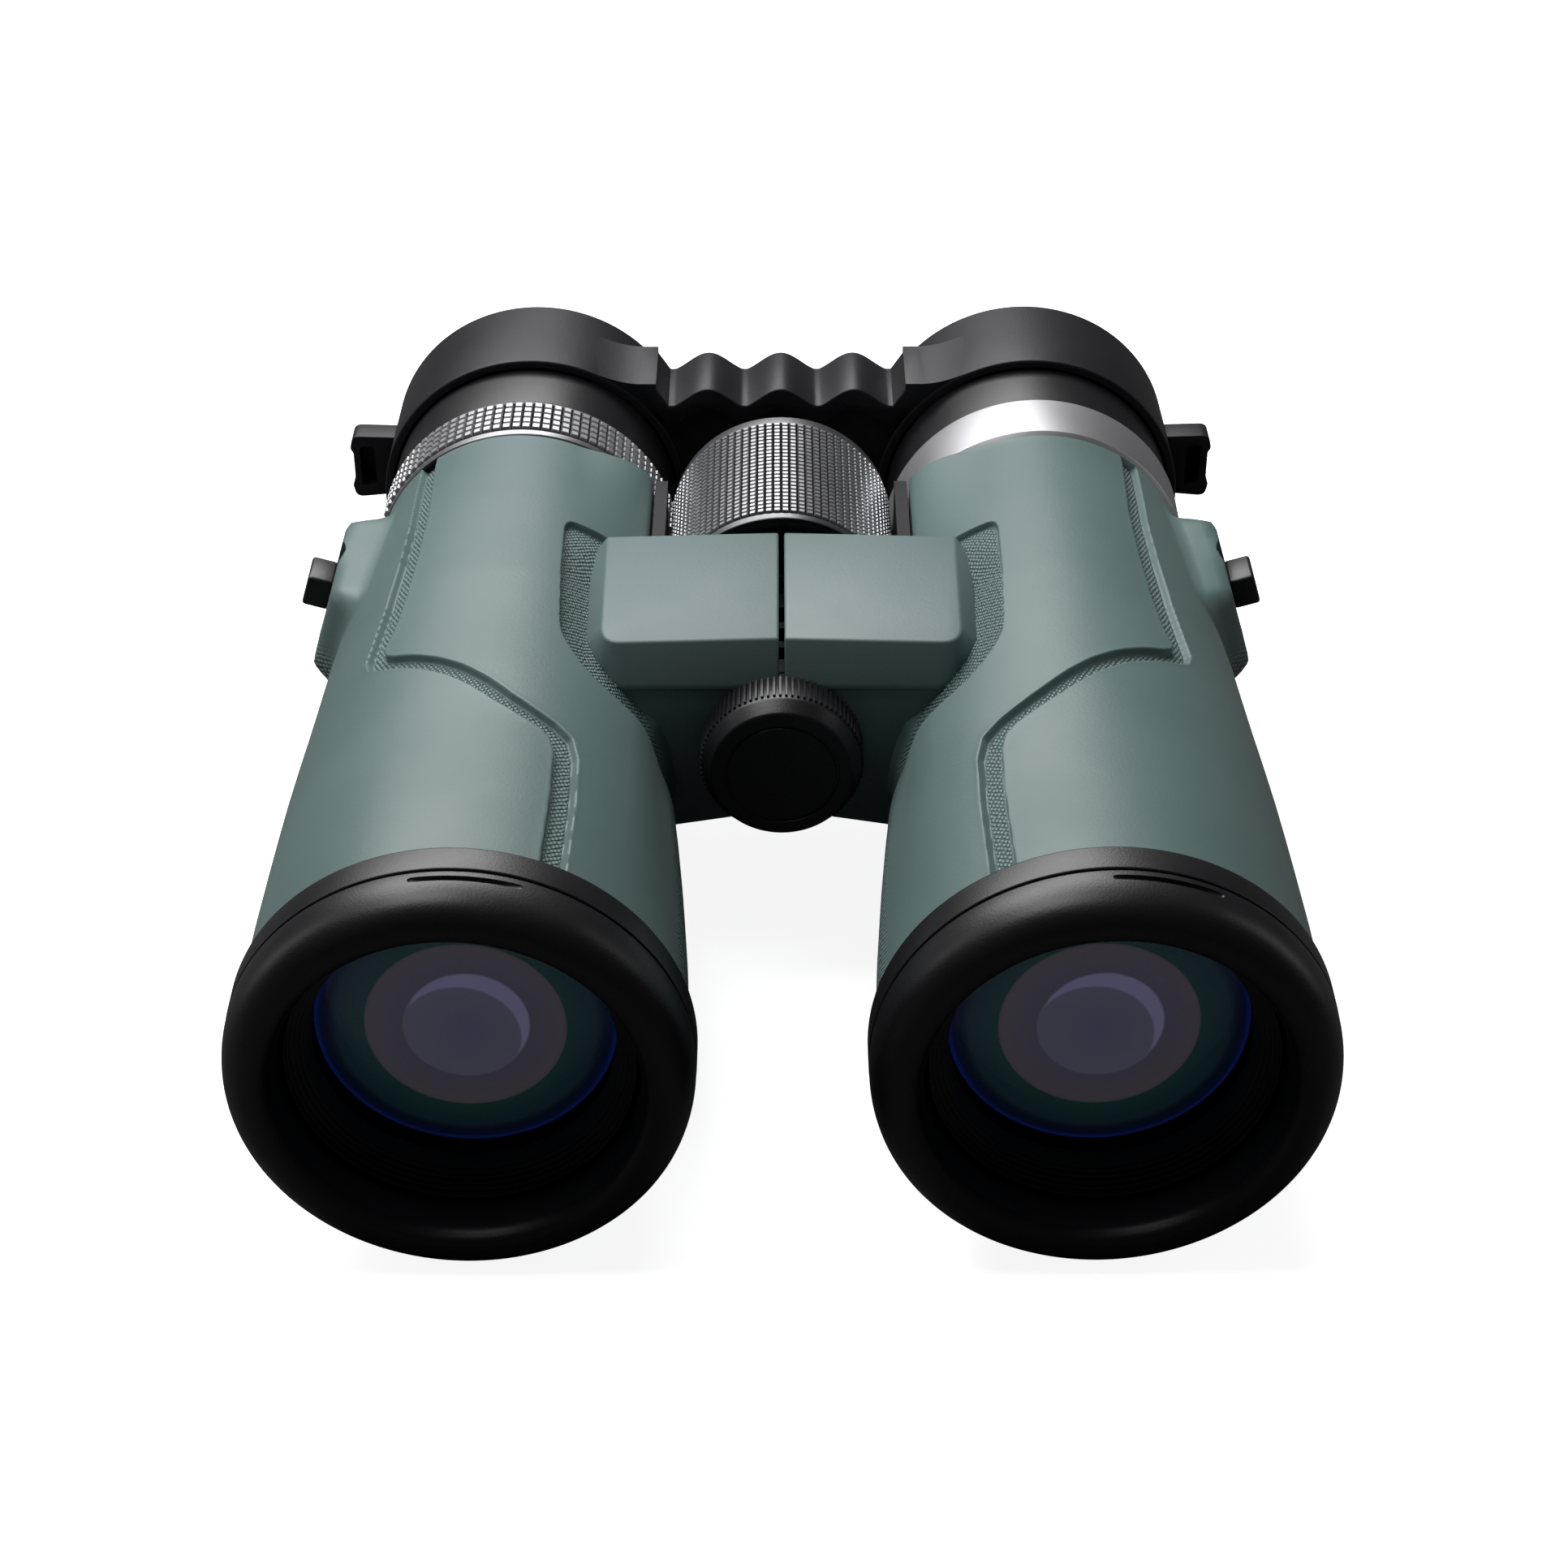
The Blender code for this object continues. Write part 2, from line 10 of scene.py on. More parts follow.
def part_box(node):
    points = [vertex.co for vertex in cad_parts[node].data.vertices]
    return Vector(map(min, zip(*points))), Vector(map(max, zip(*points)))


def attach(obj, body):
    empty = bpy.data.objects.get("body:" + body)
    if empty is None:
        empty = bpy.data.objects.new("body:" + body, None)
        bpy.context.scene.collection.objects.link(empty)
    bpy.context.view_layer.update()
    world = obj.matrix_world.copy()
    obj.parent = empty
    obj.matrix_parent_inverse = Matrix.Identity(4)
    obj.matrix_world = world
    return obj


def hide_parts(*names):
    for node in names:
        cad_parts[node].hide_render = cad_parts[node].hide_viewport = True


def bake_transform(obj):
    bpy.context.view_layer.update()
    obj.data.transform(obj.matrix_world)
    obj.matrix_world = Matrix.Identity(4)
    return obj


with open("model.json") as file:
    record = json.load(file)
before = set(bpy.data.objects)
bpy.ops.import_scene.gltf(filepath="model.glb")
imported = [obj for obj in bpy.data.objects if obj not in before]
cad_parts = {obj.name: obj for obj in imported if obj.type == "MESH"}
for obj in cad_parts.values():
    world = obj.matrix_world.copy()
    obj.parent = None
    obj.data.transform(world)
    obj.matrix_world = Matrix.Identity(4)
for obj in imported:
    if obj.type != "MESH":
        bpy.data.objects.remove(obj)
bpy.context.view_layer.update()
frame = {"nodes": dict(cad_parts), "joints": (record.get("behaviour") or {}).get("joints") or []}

mm = 0.001
sides = {"left": -1, "right": 1}
roundSegments = 144


def boxMiddle(node):
    low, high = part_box(node)
    return (low + high) / 2


def jointPlace(name):
    return Vector([j["pos_m"] for j in frame["joints"] if j["name"] == name][0])


axes = {name: boxMiddle(name + "_bezel") for name in sides}
hinge = jointPlace("bridge_hinge")
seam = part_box("left_collar")[0].y - 0.2 * mm  # stations are counted from here, in mm


def at(x, station, z):
    # a place in mm: x from the middle, station from the seam, z above the optical axes
    return Vector((x * mm, seam + station * mm, axes["left"].z + z * mm))


def finishPiece(bm, name, material, rides=None, replaces=(), angle=32.0, tidy=True):
    if tidy:
        bmesh.ops.remove_doubles(bm, verts=bm.verts, dist=2e-7)
        bmesh.ops.recalc_face_normals(bm, faces=bm.faces)
    mesh = bpy.data.meshes.new(name)
    bm.to_mesh(mesh)
    bm.free()
    mesh.shade_smooth()
    mesh.set_sharp_from_angle(angle=math.radians(angle))
    mesh.materials.append(material)
    piece = bpy.data.objects.new(name, mesh)
    bpy.context.scene.collection.objects.link(piece)
    if replaces:
        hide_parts(*replaces)
    if rides:
        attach(piece, rides)
    return piece


def softCorner(before, corner, after, reach, steps=5):
    # points that round a corner, starting and ending this far along its two sides
    before, corner, after = Vector(before), Vector(corner), Vector(after)
    start = corner + (before - corner).normalized() * min(reach, (before - corner).length / 2)
    end = corner + (after - corner).normalized() * min(reach, (after - corner).length / 2)
    points = []
    for i in range(steps + 1):
        t = i / steps
        points.append(start * (1 - t) ** 2 + corner * 2 * t * (1 - t) + end * t * t)
    return [tuple(p) for p in points]


def softOutline(points, closed=False):
    # each point is (a, b) or (a, b, rounding)
    outline = []
    count = len(points)
    for i, point in enumerate(points):
        inside = closed or 0 < i < count - 1
        if len(point) == 3 and inside:
            before, after = points[i - 1][:2], points[(i + 1) % count][:2]
            outline += softCorner(before, point[:2], after, point[2])
        else:
            outline.append(tuple(point[:2]))
    return outline


def spinOutline(bm, outline, centre, segments=roundSegments):
    # turns (station, radius) points about an axis along Y and closes the outline on itself
    verts = [
        bm.verts.new((centre.x + r * mm, seam + s * mm, centre.z)) for s, r in outline
    ]
    pairs = list(zip(verts, verts[1:]))
    if min(outline[0][1], outline[-1][1]) > 1e-6:
        pairs.append((verts[-1], verts[0]))
    edges = [bm.edges.new(pair) for pair in pairs]
    bmesh.ops.spin(
        bm, geom=verts + edges, cent=(centre.x, 0, centre.z), axis=(0, 1, 0),
        angle=2 * math.pi, steps=segments, use_merge=True,
    )
    bmesh.ops.remove_doubles(bm, verts=bm.verts, dist=2e-7)
    bmesh.ops.recalc_face_normals(bm, faces=bm.faces)


def turnedPiece(name, outline, centre, material, body, replaces, segments=roundSegments):
    bm = bmesh.new()
    spinOutline(bm, softOutline(outline), centre, segments)
    return finishPiece(bm, name, material, body, replaces)


def raisePips(bm, centre, stations, radius, margin, height, skip=None, longer=1.0):
    # every face between two stations and near a radius becomes a small raised pip
    low, high = seam + stations[0] * mm, seam + stations[1] * mm
    chosen = []
    for face in bm.faces:
        middle = face.calc_center_median()
        reach = math.hypot(middle.x - centre.x, middle.z - centre.z) / mm
        if low < middle.y < high and abs(reach - radius) < 0.3:
            chosen.append(face)
    if skip:
        chosen = [f for f in chosen if skip(f.calc_center_median())]
    bmesh.ops.inset_individual(
        bm, faces=chosen, thickness=margin * mm, depth=height * mm, use_even_offset=True
    )
    for face in chosen:
        middle = face.calc_center_median().y
        for vert in face.verts:
            vert.co.y = middle + (vert.co.y - middle) * longer


def drawnPrism(bm, outline, start, end, steps=1):
    # an (x, z) outline drawn out along Y between two stations
    face = bm.faces.new([bm.verts.new(at(x, start, z)) for x, z in outline])
    faces = [face]
    for i in range(steps):
        grown = bmesh.ops.extrude_face_region(bm, geom=faces)
        verts = [g for g in grown["geom"] if isinstance(g, bmesh.types.BMVert)]
        newFaces = [g for g in grown["geom"] if isinstance(g, bmesh.types.BMFace)]
        bmesh.ops.translate(bm, verts=verts, vec=(0, (end - start) * mm / steps, 0))
        faces = newFaces
    bmesh.ops.recalc_face_normals(bm, faces=bm.faces)


def softenEdges(bm, width, segments=3, sharper=25.0, keep=None):
    edges = [
        e for e in bm.edges
        if e.is_manifold and e.calc_face_angle(0) > math.radians(sharper)
        and (keep is None or keep(e))
    ]
    bmesh.ops.bevel(
        bm, geom=edges, offset=width * mm, offset_type="OFFSET", segments=segments,
        profile=0.5, affect="EDGES", material=-1, clamp_overlap=True,
    )


def carve(piece, cutter):
    # takes the cutter's shape out of the piece for good
    modifier = piece.modifiers.new("cut", "BOOLEAN")
    modifier.operation = "DIFFERENCE"
    modifier.solver = "EXACT"
    modifier.object = cutter
    graph = bpy.context.evaluated_depsgraph_get()
    mesh = bpy.data.meshes.new_from_object(piece.evaluated_get(graph))
    piece.modifiers.clear()
    piece.data = mesh
    bpy.data.objects.remove(cutter)


def looseMesh(bm, name):
    mesh = bpy.data.meshes.new(name)
    bm.to_mesh(mesh)
    bm.free()
    cutter = bpy.data.objects.new(name, mesh)
    bpy.context.scene.collection.objects.link(cutter)
    return cutter


def smoothStep(value, low, high):
    t = np.clip((value - low) / (high - low), 0.0, 1.0)
    return t * t * (3 - 2 * t)


def startMaterial(name):
    material = bpy.data.materials.new(name)
    material.use_nodes = True
    tree = material.node_tree
    tree.nodes.clear()
    return material, tree.nodes, tree.links


def layOut(columns):
    # columns from left to right, as the editor would show them
    for column, group in enumerate(columns):
        for row, node in enumerate(group):
            node.location = (column * 220 - 1400, 300 - row * 260)


def frameUp(nodes, effects):
    # one labelled frame round the nodes of each effect
    for label, members in effects.items():
        box = nodes.new("NodeFrame")
        box.label = label
        for node in members:
            node.parent = box


def rubberMaterial(name, centre, colour, kind, side=1):
    material, nodes, links = startMaterial(name)
    place = nodes.new("ShaderNodeTexCoord")
    place.label = "where on the rubber"
    centred = nodes.new("ShaderNodeMapping")
    centred.label = "barrel axis to the middle"
    centred.inputs["Location"].default_value = (-centre.x, 0, -centre.z)
    split = nodes.new("ShaderNodeSeparateXYZ")
    split.label = "across and along"
    turn = nodes.new("ShaderNodeMath")
    turn.label = "angle round the barrel"
    turn.operation = "ARCTAN2"
    arc = nodes.new("ShaderNodeMath")
    arc.label = "length round the barrel"
    arc.operation = "MULTIPLY"
    arc.inputs[1].default_value = 0.0235
    flat = nodes.new("ShaderNodeCombineXYZ")
    flat.label = "rubber laid flat"
    slant = nodes.new("ShaderNodeMapping")
    slant.label = "knit runs at a slant"
    slant.inputs["Rotation"].default_value = (0, 0, math.radians(-32 * side))
    slant.inputs["Scale"].default_value = (2000, 1550, 1)
    knit = nodes.new("ShaderNodeTexVoronoi")
    knit.label = "knitted bumps"
    knit.voronoi_dimensions = "2D"
    knit.inputs["Scale"].default_value = 1.0
    knit.inputs["Randomness"].default_value = 0.22
    dome = nodes.new("ShaderNodeMapRange")
    dome.label = "round each bump"
    dome.interpolation_type = "SMOOTHSTEP"
    dome.inputs["From Min"].default_value = 0.16
    dome.inputs["From Max"].default_value = 0.62
    dome.inputs["To Min"].default_value = 1.0
    dome.inputs["To Max"].default_value = 0.0
    pebble = nodes.new("ShaderNodeTexNoise")
    pebble.label = "fine moulded grain"
    pebble.inputs["Scale"].default_value = 2600
    pebble.inputs["Detail"].default_value = 2.0
    pebble.inputs["Roughness"].default_value = 0.6
    cloudy = nodes.new("ShaderNodeTexNoise")
    cloudy.label = "slow change of tone"
    cloudy.inputs["Scale"].default_value = 38
    cloudy.inputs["Detail"].default_value = 4.0
    groove = nodes.new("ShaderNodeAttribute")
    groove.label = "inside the grooves"
    groove.attribute_name = "groove"
    grip = nodes.new("ShaderNodeAttribute")
    grip.label = "knitted grip underneath"
    grip.attribute_name = "grip"
    either = nodes.new("ShaderNodeMath")
    either.label = "where the knit shows"
    either.operation = "MAXIMUM"
    fineGrain = nodes.new("ShaderNodeMath")
    fineGrain.label = "grain height"
    fineGrain.operation = "MULTIPLY"
    fineGrain.inputs[1].default_value = 0.10
    height = nodes.new("ShaderNodeMix")
    height.label = "grain or knit"
    height.data_type = "FLOAT"
    bump = nodes.new("ShaderNodeBump")
    bump.label = "relief of the rubber"
    bump.inputs["Strength"].default_value = 1.0
    bump.inputs["Distance"].default_value = 0.0002
    tone = nodes.new("ShaderNodeMix")
    tone.label = "two close greens"
    tone.data_type = "RGBA"
    tone.inputs["A"].default_value = (*[c * 0.94 for c in colour], 1)
    tone.inputs["B"].default_value = (*[min(1, c * 1.06) for c in colour], 1)
    # painted light and shade on the knit: gaps between bumps darkened and bump tops brightened,
    # multiplied into the colour
    hollow = nodes.new("ShaderNodeMapRange")
    hollow.label = "painted shade between bumps, painted light on their tops"
    hollow.inputs["To Min"].default_value = 0.24
    hollow.inputs["To Max"].default_value = 1.95
    knitLightShadeMix = nodes.new("ShaderNodeMix")
    knitLightShadeMix.label = "only in the knit"
    knitLightShadeMix.data_type = "FLOAT"
    knitLightShadeMix.inputs["A"].default_value = 1.0
    shade = nodes.new("ShaderNodeMix")
    shade.label = "painted light and shade on the knit"
    shade.data_type = "RGBA"
    shade.blend_type = "MULTIPLY"
    shade.inputs["Factor"].default_value = 1.0
    worn = nodes.new("ShaderNodeMapRange")
    worn.label = "handled patches shine more"
    worn.inputs["From Min"].default_value = 0.35
    worn.inputs["From Max"].default_value = 0.7
    worn.inputs["To Min"].default_value = kind["smooth"]
    worn.inputs["To Max"].default_value = kind["rough"]
    shader = nodes.new("ShaderNodeBsdfPrincipled")
    shader.label = "rubber"
    shader.inputs["Specular IOR Level"].default_value = kind["specular"]
    shader.inputs["Sheen Weight"].default_value = kind["sheen"]
    shader.inputs["Sheen Roughness"].default_value = 0.4
    out = nodes.new("ShaderNodeOutputMaterial")
    out.label = "surface"
    links.new(place.outputs["Object"], centred.inputs["Vector"])
    links.new(centred.outputs["Vector"], split.inputs["Vector"])
    links.new(split.outputs["Z"], turn.inputs[0])
    links.new(split.outputs["X"], turn.inputs[1])
    links.new(turn.outputs[0], arc.inputs[0])
    links.new(arc.outputs[0], flat.inputs["X"])
    links.new(split.outputs["Y"], flat.inputs["Y"])
    links.new(flat.outputs["Vector"], slant.inputs["Vector"])
    links.new(slant.outputs["Vector"], knit.inputs["Vector"])
    links.new(knit.outputs["Distance"], dome.inputs["Value"])
    links.new(place.outputs["Object"], pebble.inputs["Vector"])
    links.new(place.outputs["Object"], cloudy.inputs["Vector"])
    links.new(groove.outputs["Fac"], either.inputs[0])
    links.new(grip.outputs["Fac"], either.inputs[1])
    links.new(pebble.outputs["Fac"], fineGrain.inputs[0])
    links.new(either.outputs[0], height.inputs["Factor"])
    links.new(fineGrain.outputs[0], height.inputs["A"])
    links.new(dome.outputs["Result"], height.inputs["B"])
    links.new(height.outputs["Result"], bump.inputs["Height"])
    links.new(cloudy.outputs["Fac"], tone.inputs["Factor"])
    links.new(dome.outputs["Result"], hollow.inputs["Value"])
    links.new(either.outputs[0], knitLightShadeMix.inputs["Factor"])
    links.new(hollow.outputs["Result"], knitLightShadeMix.inputs["B"])
    links.new(tone.outputs["Result"], shade.inputs["A"])
    links.new(knitLightShadeMix.outputs["Result"], shade.inputs["B"])
    links.new(shade.outputs["Result"], shader.inputs["Base Color"])
    links.new(cloudy.outputs["Fac"], worn.inputs["Value"])
    links.new(worn.outputs["Result"], shader.inputs["Roughness"])
    links.new(bump.outputs["Normal"], shader.inputs["Normal"])
    links.new(shader.outputs["BSDF"], out.inputs["Surface"])
    layOut([[place], [centred, pebble, cloudy], [split], [turn, groove, grip],
            [arc, either], [flat, tone, worn], [slant], [knit, fineGrain],
            [dome], [hollow, height], [knitLightShadeMix, bump], [shade], [shader], [out]])
    frameUp(nodes, {
        "knit laid round the barrel": (centred, split, turn, arc, flat, slant, knit, dome),
        "where the knit shows": (groove, grip, either),
        "relief": (pebble, fineGrain, height, bump),
        # the colour frame also holds the painted light and shade of the knit
        "colour": (cloudy, tone, hollow, knitLightShadeMix, shade),
        "shine": (worn,),
    })
    return material


def plasticMaterial(name, colour, roughness, grain, specular=0.5):
    # moulded black plastic or rubber with a fine spark-eroded grain
    material, nodes, links = startMaterial(name)
    place = nodes.new("ShaderNodeTexCoord")
    place.label = "where on the piece"
    fine = nodes.new("ShaderNodeTexNoise")
    fine.label = "moulded grain"
    fine.inputs["Scale"].default_value = 3400
    fine.inputs["Detail"].default_value = 2.0
    patch = nodes.new("ShaderNodeTexNoise")
    patch.label = "finger marks"
    patch.inputs["Scale"].default_value = 60
    patch.inputs["Detail"].default_value = 5.0
    polish = nodes.new("ShaderNodeMapRange")
    polish.label = "rougher and smoother patches"
    polish.inputs["From Min"].default_value = 0.3
    polish.inputs["From Max"].default_value = 0.7
    polish.inputs["To Min"].default_value = roughness - 0.04
    polish.inputs["To Max"].default_value = roughness + 0.05
    tint = nodes.new("ShaderNodeMix")
    tint.label = "faded a little"
    tint.data_type = "RGBA"
    tint.inputs["A"].default_value = (*colour, 1)
    tint.inputs["B"].default_value = (*[c * 1.25 for c in colour], 1)
    bump = nodes.new("ShaderNodeBump")
    bump.label = "grain relief"
    bump.inputs["Strength"].default_value = grain
    bump.inputs["Distance"].default_value = 0.00006
    shader = nodes.new("ShaderNodeBsdfPrincipled")
    shader.label = "plastic"
    shader.inputs["Specular IOR Level"].default_value = specular
    out = nodes.new("ShaderNodeOutputMaterial")
    out.label = "surface"
    links.new(place.outputs["Object"], fine.inputs["Vector"])
    links.new(place.outputs["Object"], patch.inputs["Vector"])
    links.new(patch.outputs["Fac"], polish.inputs["Value"])
    links.new(patch.outputs["Fac"], tint.inputs["Factor"])
    links.new(fine.outputs["Fac"], bump.inputs["Height"])
    links.new(tint.outputs["Result"], shader.inputs["Base Color"])
    links.new(polish.outputs["Result"], shader.inputs["Roughness"])
    links.new(bump.outputs["Normal"], shader.inputs["Normal"])
    links.new(shader.outputs["BSDF"], out.inputs["Surface"])
    layOut([[place], [fine, patch], [polish, tint, bump], [shader], [out]])
    frameUp(nodes, {"moulded grain": (fine, bump), "handled patches": (patch, polish, tint)})
    return material


def metalMaterial(name, colour, roughness, centre, lines=0.35, valley=None):
    # turned metal: fine rings left by the tool, closer together than the eye can part
    material, nodes, links = startMaterial(name)
    place = nodes.new("ShaderNodeTexCoord")
    place.label = "where on the metal"
    stretch = nodes.new("ShaderNodeMapping")
    stretch.label = "short across, long around"
    stretch.inputs["Location"].default_value = (-centre.x * 60, 0, -centre.z * 60)
    stretch.inputs["Scale"].default_value = (60, 9000, 60)
    rings = nodes.new("ShaderNodeTexNoise")
    rings.label = "turning marks"
    rings.inputs["Scale"].default_value = 1.0
    rings.inputs["Detail"].default_value = 3.0
    patch = nodes.new("ShaderNodeTexNoise")
    patch.label = "dull patches"
    patch.inputs["Scale"].default_value = 90
    polish = nodes.new("ShaderNodeMapRange")
    polish.label = "satin"
    polish.inputs["To Min"].default_value = roughness - 0.05
    polish.inputs["To Max"].default_value = roughness + 0.07
    bump = nodes.new("ShaderNodeBump")
    bump.label = "ring relief"
    bump.inputs["Strength"].default_value = lines
    bump.inputs["Distance"].default_value = 0.00002
    shader = nodes.new("ShaderNodeBsdfPrincipled")
    shader.label = "metal"
    shader.inputs["Metallic"].default_value = 0.8
    shader.inputs["Base Color"].default_value = (*colour, 1)
    out = nodes.new("ShaderNodeOutputMaterial")
    out.label = "surface"
    links.new(place.outputs["Object"], stretch.inputs["Vector"])
    links.new(stretch.outputs["Vector"], rings.inputs["Vector"])
    links.new(place.outputs["Object"], patch.inputs["Vector"])
    links.new(patch.outputs["Fac"], polish.inputs["Value"])
    links.new(rings.outputs["Fac"], bump.inputs["Height"])
    links.new(polish.outputs["Result"], shader.inputs["Roughness"])
    links.new(bump.outputs["Normal"], shader.inputs["Normal"])
    links.new(shader.outputs["BSDF"], out.inputs["Surface"])
    layOut([[place], [stretch, patch], [rings, polish], [bump], [shader], [out]])
    frameUp(nodes, {"turned lines": (stretch, rings, bump), "handled patches": (patch, polish)})
    # with valley given, painted shade darkens the knurl between the pips
    if valley:
        paintValleyShade(nodes, links, place, shader, centre, valley, colour)
    return material


def paintValleyShade(nodes, links, place, shader, centre, valley, colour):
    # painted shade at the foot of the knurl, darker nearer the turning axis, by distance from it
    # in mm
    centred = nodes.new("ShaderNodeMapping")
    centred.label = "axis to the middle"
    centred.inputs["Location"].default_value = (-centre.x, 0, -centre.z)
    centred.inputs["Scale"].default_value = (1, 0, 1)
    reach = nodes.new("ShaderNodeVectorMath")
    reach.label = "distance from the axis"
    reach.operation = "LENGTH"
    climb = nodes.new("ShaderNodeMapRange")
    climb.label = "valley to crest"
    climb.inputs["From Min"].default_value = valley[0] * mm
    climb.inputs["From Max"].default_value = valley[1] * mm
    valleyShade = nodes.new("ShaderNodeMix")
    valleyShade.label = "painted shade in the valleys"
    valleyShade.data_type = "RGBA"
    valleyShade.inputs["A"].default_value = (0.012, 0.012, 0.014, 1)
    valleyShade.inputs["B"].default_value = (*colour, 1)
    links.new(place.outputs["Object"], centred.inputs["Vector"])
    links.new(centred.outputs["Vector"], reach.inputs[0])
    links.new(reach.outputs["Value"], climb.inputs["Value"])
    links.new(climb.outputs["Result"], valleyShade.inputs["Factor"])
    links.new(valleyShade.outputs["Result"], shader.inputs["Base Color"])
    layOut([[centred], [reach], [climb], [valleyShade]])
    frameUp(nodes, {"painted shade between the pips": (centred, reach, climb, valleyShade)})


rampReach = 20  # mm from the middle of a lens to the end of its colour ramp


def coatedGlass(name, centre, rings, alpha, roughness, metallic, glow=0.0):
    # coated glass: its tint changes in rings from the middle (mm, colour); with glow it also glows
    # by itself, painted light, and carries a violet crescent of painted reflection
    material, nodes, links = startMaterial(name)
    place = nodes.new("ShaderNodeTexCoord")
    place.label = "where on the glass"
    centred = nodes.new("ShaderNodeMapping")
    centred.label = "lens middle to zero"
    centred.inputs["Location"].default_value = (-centre.x, 0, -centre.z)
    centred.inputs["Scale"].default_value = (1, 0, 1)
    reach = nodes.new("ShaderNodeVectorMath")
    reach.label = "distance from the middle"
    reach.operation = "LENGTH"
    scale = nodes.new("ShaderNodeMath")
    scale.label = "share of the ramp's reach"
    scale.operation = "DIVIDE"
    scale.inputs[1].default_value = rampReach * mm
    ramp = nodes.new("ShaderNodeValToRGB")
    ramp.label = "coating tint"
    ramp.color_ramp.interpolation = "EASE"
    elements = ramp.color_ramp.elements
    elements[0].position = rings[0][0] / rampReach
    elements[0].color = (*rings[0][1], 1)
    elements[1].position = rings[-1][0] / rampReach
    elements[1].color = (*rings[-1][1], 1)
    for radius, tint in rings[1:-1]:
        element = elements.new(radius / rampReach)
        element.color = (*tint, 1)
    haze = nodes.new("ShaderNodeTexNoise")
    haze.label = "faint haze"
    haze.inputs["Scale"].default_value = 120
    polish = nodes.new("ShaderNodeMapRange")
    polish.label = "almost clean"
    polish.inputs["To Min"].default_value = roughness * 0.8
    polish.inputs["To Max"].default_value = roughness * 1.2
    shader = nodes.new("ShaderNodeBsdfPrincipled")
    shader.label = "glass"
    shader.inputs["Metallic"].default_value = metallic
    shader.inputs["Alpha"].default_value = alpha
    out = nodes.new("ShaderNodeOutputMaterial")
    out.label = "surface"
    links.new(place.outputs["Object"], centred.inputs["Vector"])
    links.new(centred.outputs["Vector"], reach.inputs[0])
    links.new(reach.outputs["Value"], scale.inputs[0])
    links.new(scale.outputs[0], ramp.inputs["Fac"])
    links.new(place.outputs["Object"], haze.inputs["Vector"])
    links.new(haze.outputs["Fac"], polish.inputs["Value"])
    links.new(polish.outputs["Result"], shader.inputs["Roughness"])
    links.new(shader.outputs["BSDF"], out.inputs["Surface"])
    layOut([[place], [centred, haze], [reach, polish], [scale], [ramp], [shader], [out]])
    frameUp(nodes, {"rings of coating": (centred, reach, scale, ramp), "haze": (haze, polish)})
    # painted light: the ring colours glow through Emission at this strength, painted reflections
    # of the coatings that no lamp lights
    if glow:
        shader.inputs["Emission Strength"].default_value = glow
        addPaintedReflection(nodes, links, centred, ramp, shader)
    else:
        links.new(ramp.outputs["Color"], shader.inputs["Base Color"])
    return material


# centres of two circles (x, z), their radius and soft edge, in mm, for a crescent of painted
# reflection
ghost = {"outer": (0.3, 0.5), "inner": (-0.7, -1.3), "radius": 6.9, "blur": 0.15,
         "tint": (0.082, 0.076, 0.135)}


def addPaintedReflection(nodes, links, centred, ramp, shader):
    # painted reflection: a glowing violet crescent standing for a coating's ghost image, inside
    # one circle and outside a second one beside it
    masks, shifts, reaches = [], [], []
    for label, middle in (("outer circle", ghost["outer"]), ("inner circle", ghost["inner"])):
        shift = nodes.new("ShaderNodeMapping")
        shift.label = label + " centre"
        shift.inputs["Location"].default_value = (-middle[0] * mm, 0, -middle[1] * mm)
        reach = nodes.new("ShaderNodeVectorMath")
        reach.label = label + " distance"
        reach.operation = "LENGTH"
        edge = nodes.new("ShaderNodeMapRange")
        edge.label = label + " edge"
        edge.inputs["From Min"].default_value = (ghost["radius"] - ghost["blur"]) * mm
        edge.inputs["From Max"].default_value = (ghost["radius"] + ghost["blur"]) * mm
        links.new(centred.outputs["Vector"], shift.inputs["Vector"])
        links.new(shift.outputs["Vector"], reach.inputs[0])
        links.new(reach.outputs["Value"], edge.inputs["Value"])
        masks.append(edge)
        shifts.append(shift)
        reaches.append(reach)
    outer, inner = masks
    outer.inputs["To Min"].default_value = 1.0
    outer.inputs["To Max"].default_value = 0.0
    both = nodes.new("ShaderNodeMath")
    both.label = "crescent"
    both.operation = "MULTIPLY"
    tint = nodes.new("ShaderNodeMix")
    tint.label = "painted violet reflection"
    tint.data_type = "RGBA"
    tint.inputs["B"].default_value = (*ghost["tint"], 1)
    links.new(outer.outputs["Result"], both.inputs[0])
    links.new(inner.outputs["Result"], both.inputs[1])
    links.new(both.outputs[0], tint.inputs["Factor"])
    links.new(ramp.outputs["Color"], tint.inputs["A"])
    links.new(tint.outputs["Result"], shader.inputs["Base Color"])
    links.new(tint.outputs["Result"], shader.inputs["Emission Color"])
    layOut([shifts, reaches, masks, [both], [tint]])
    frameUp(nodes, {"crescent of painted reflection": (*shifts, *reaches, *masks, both, tint)})


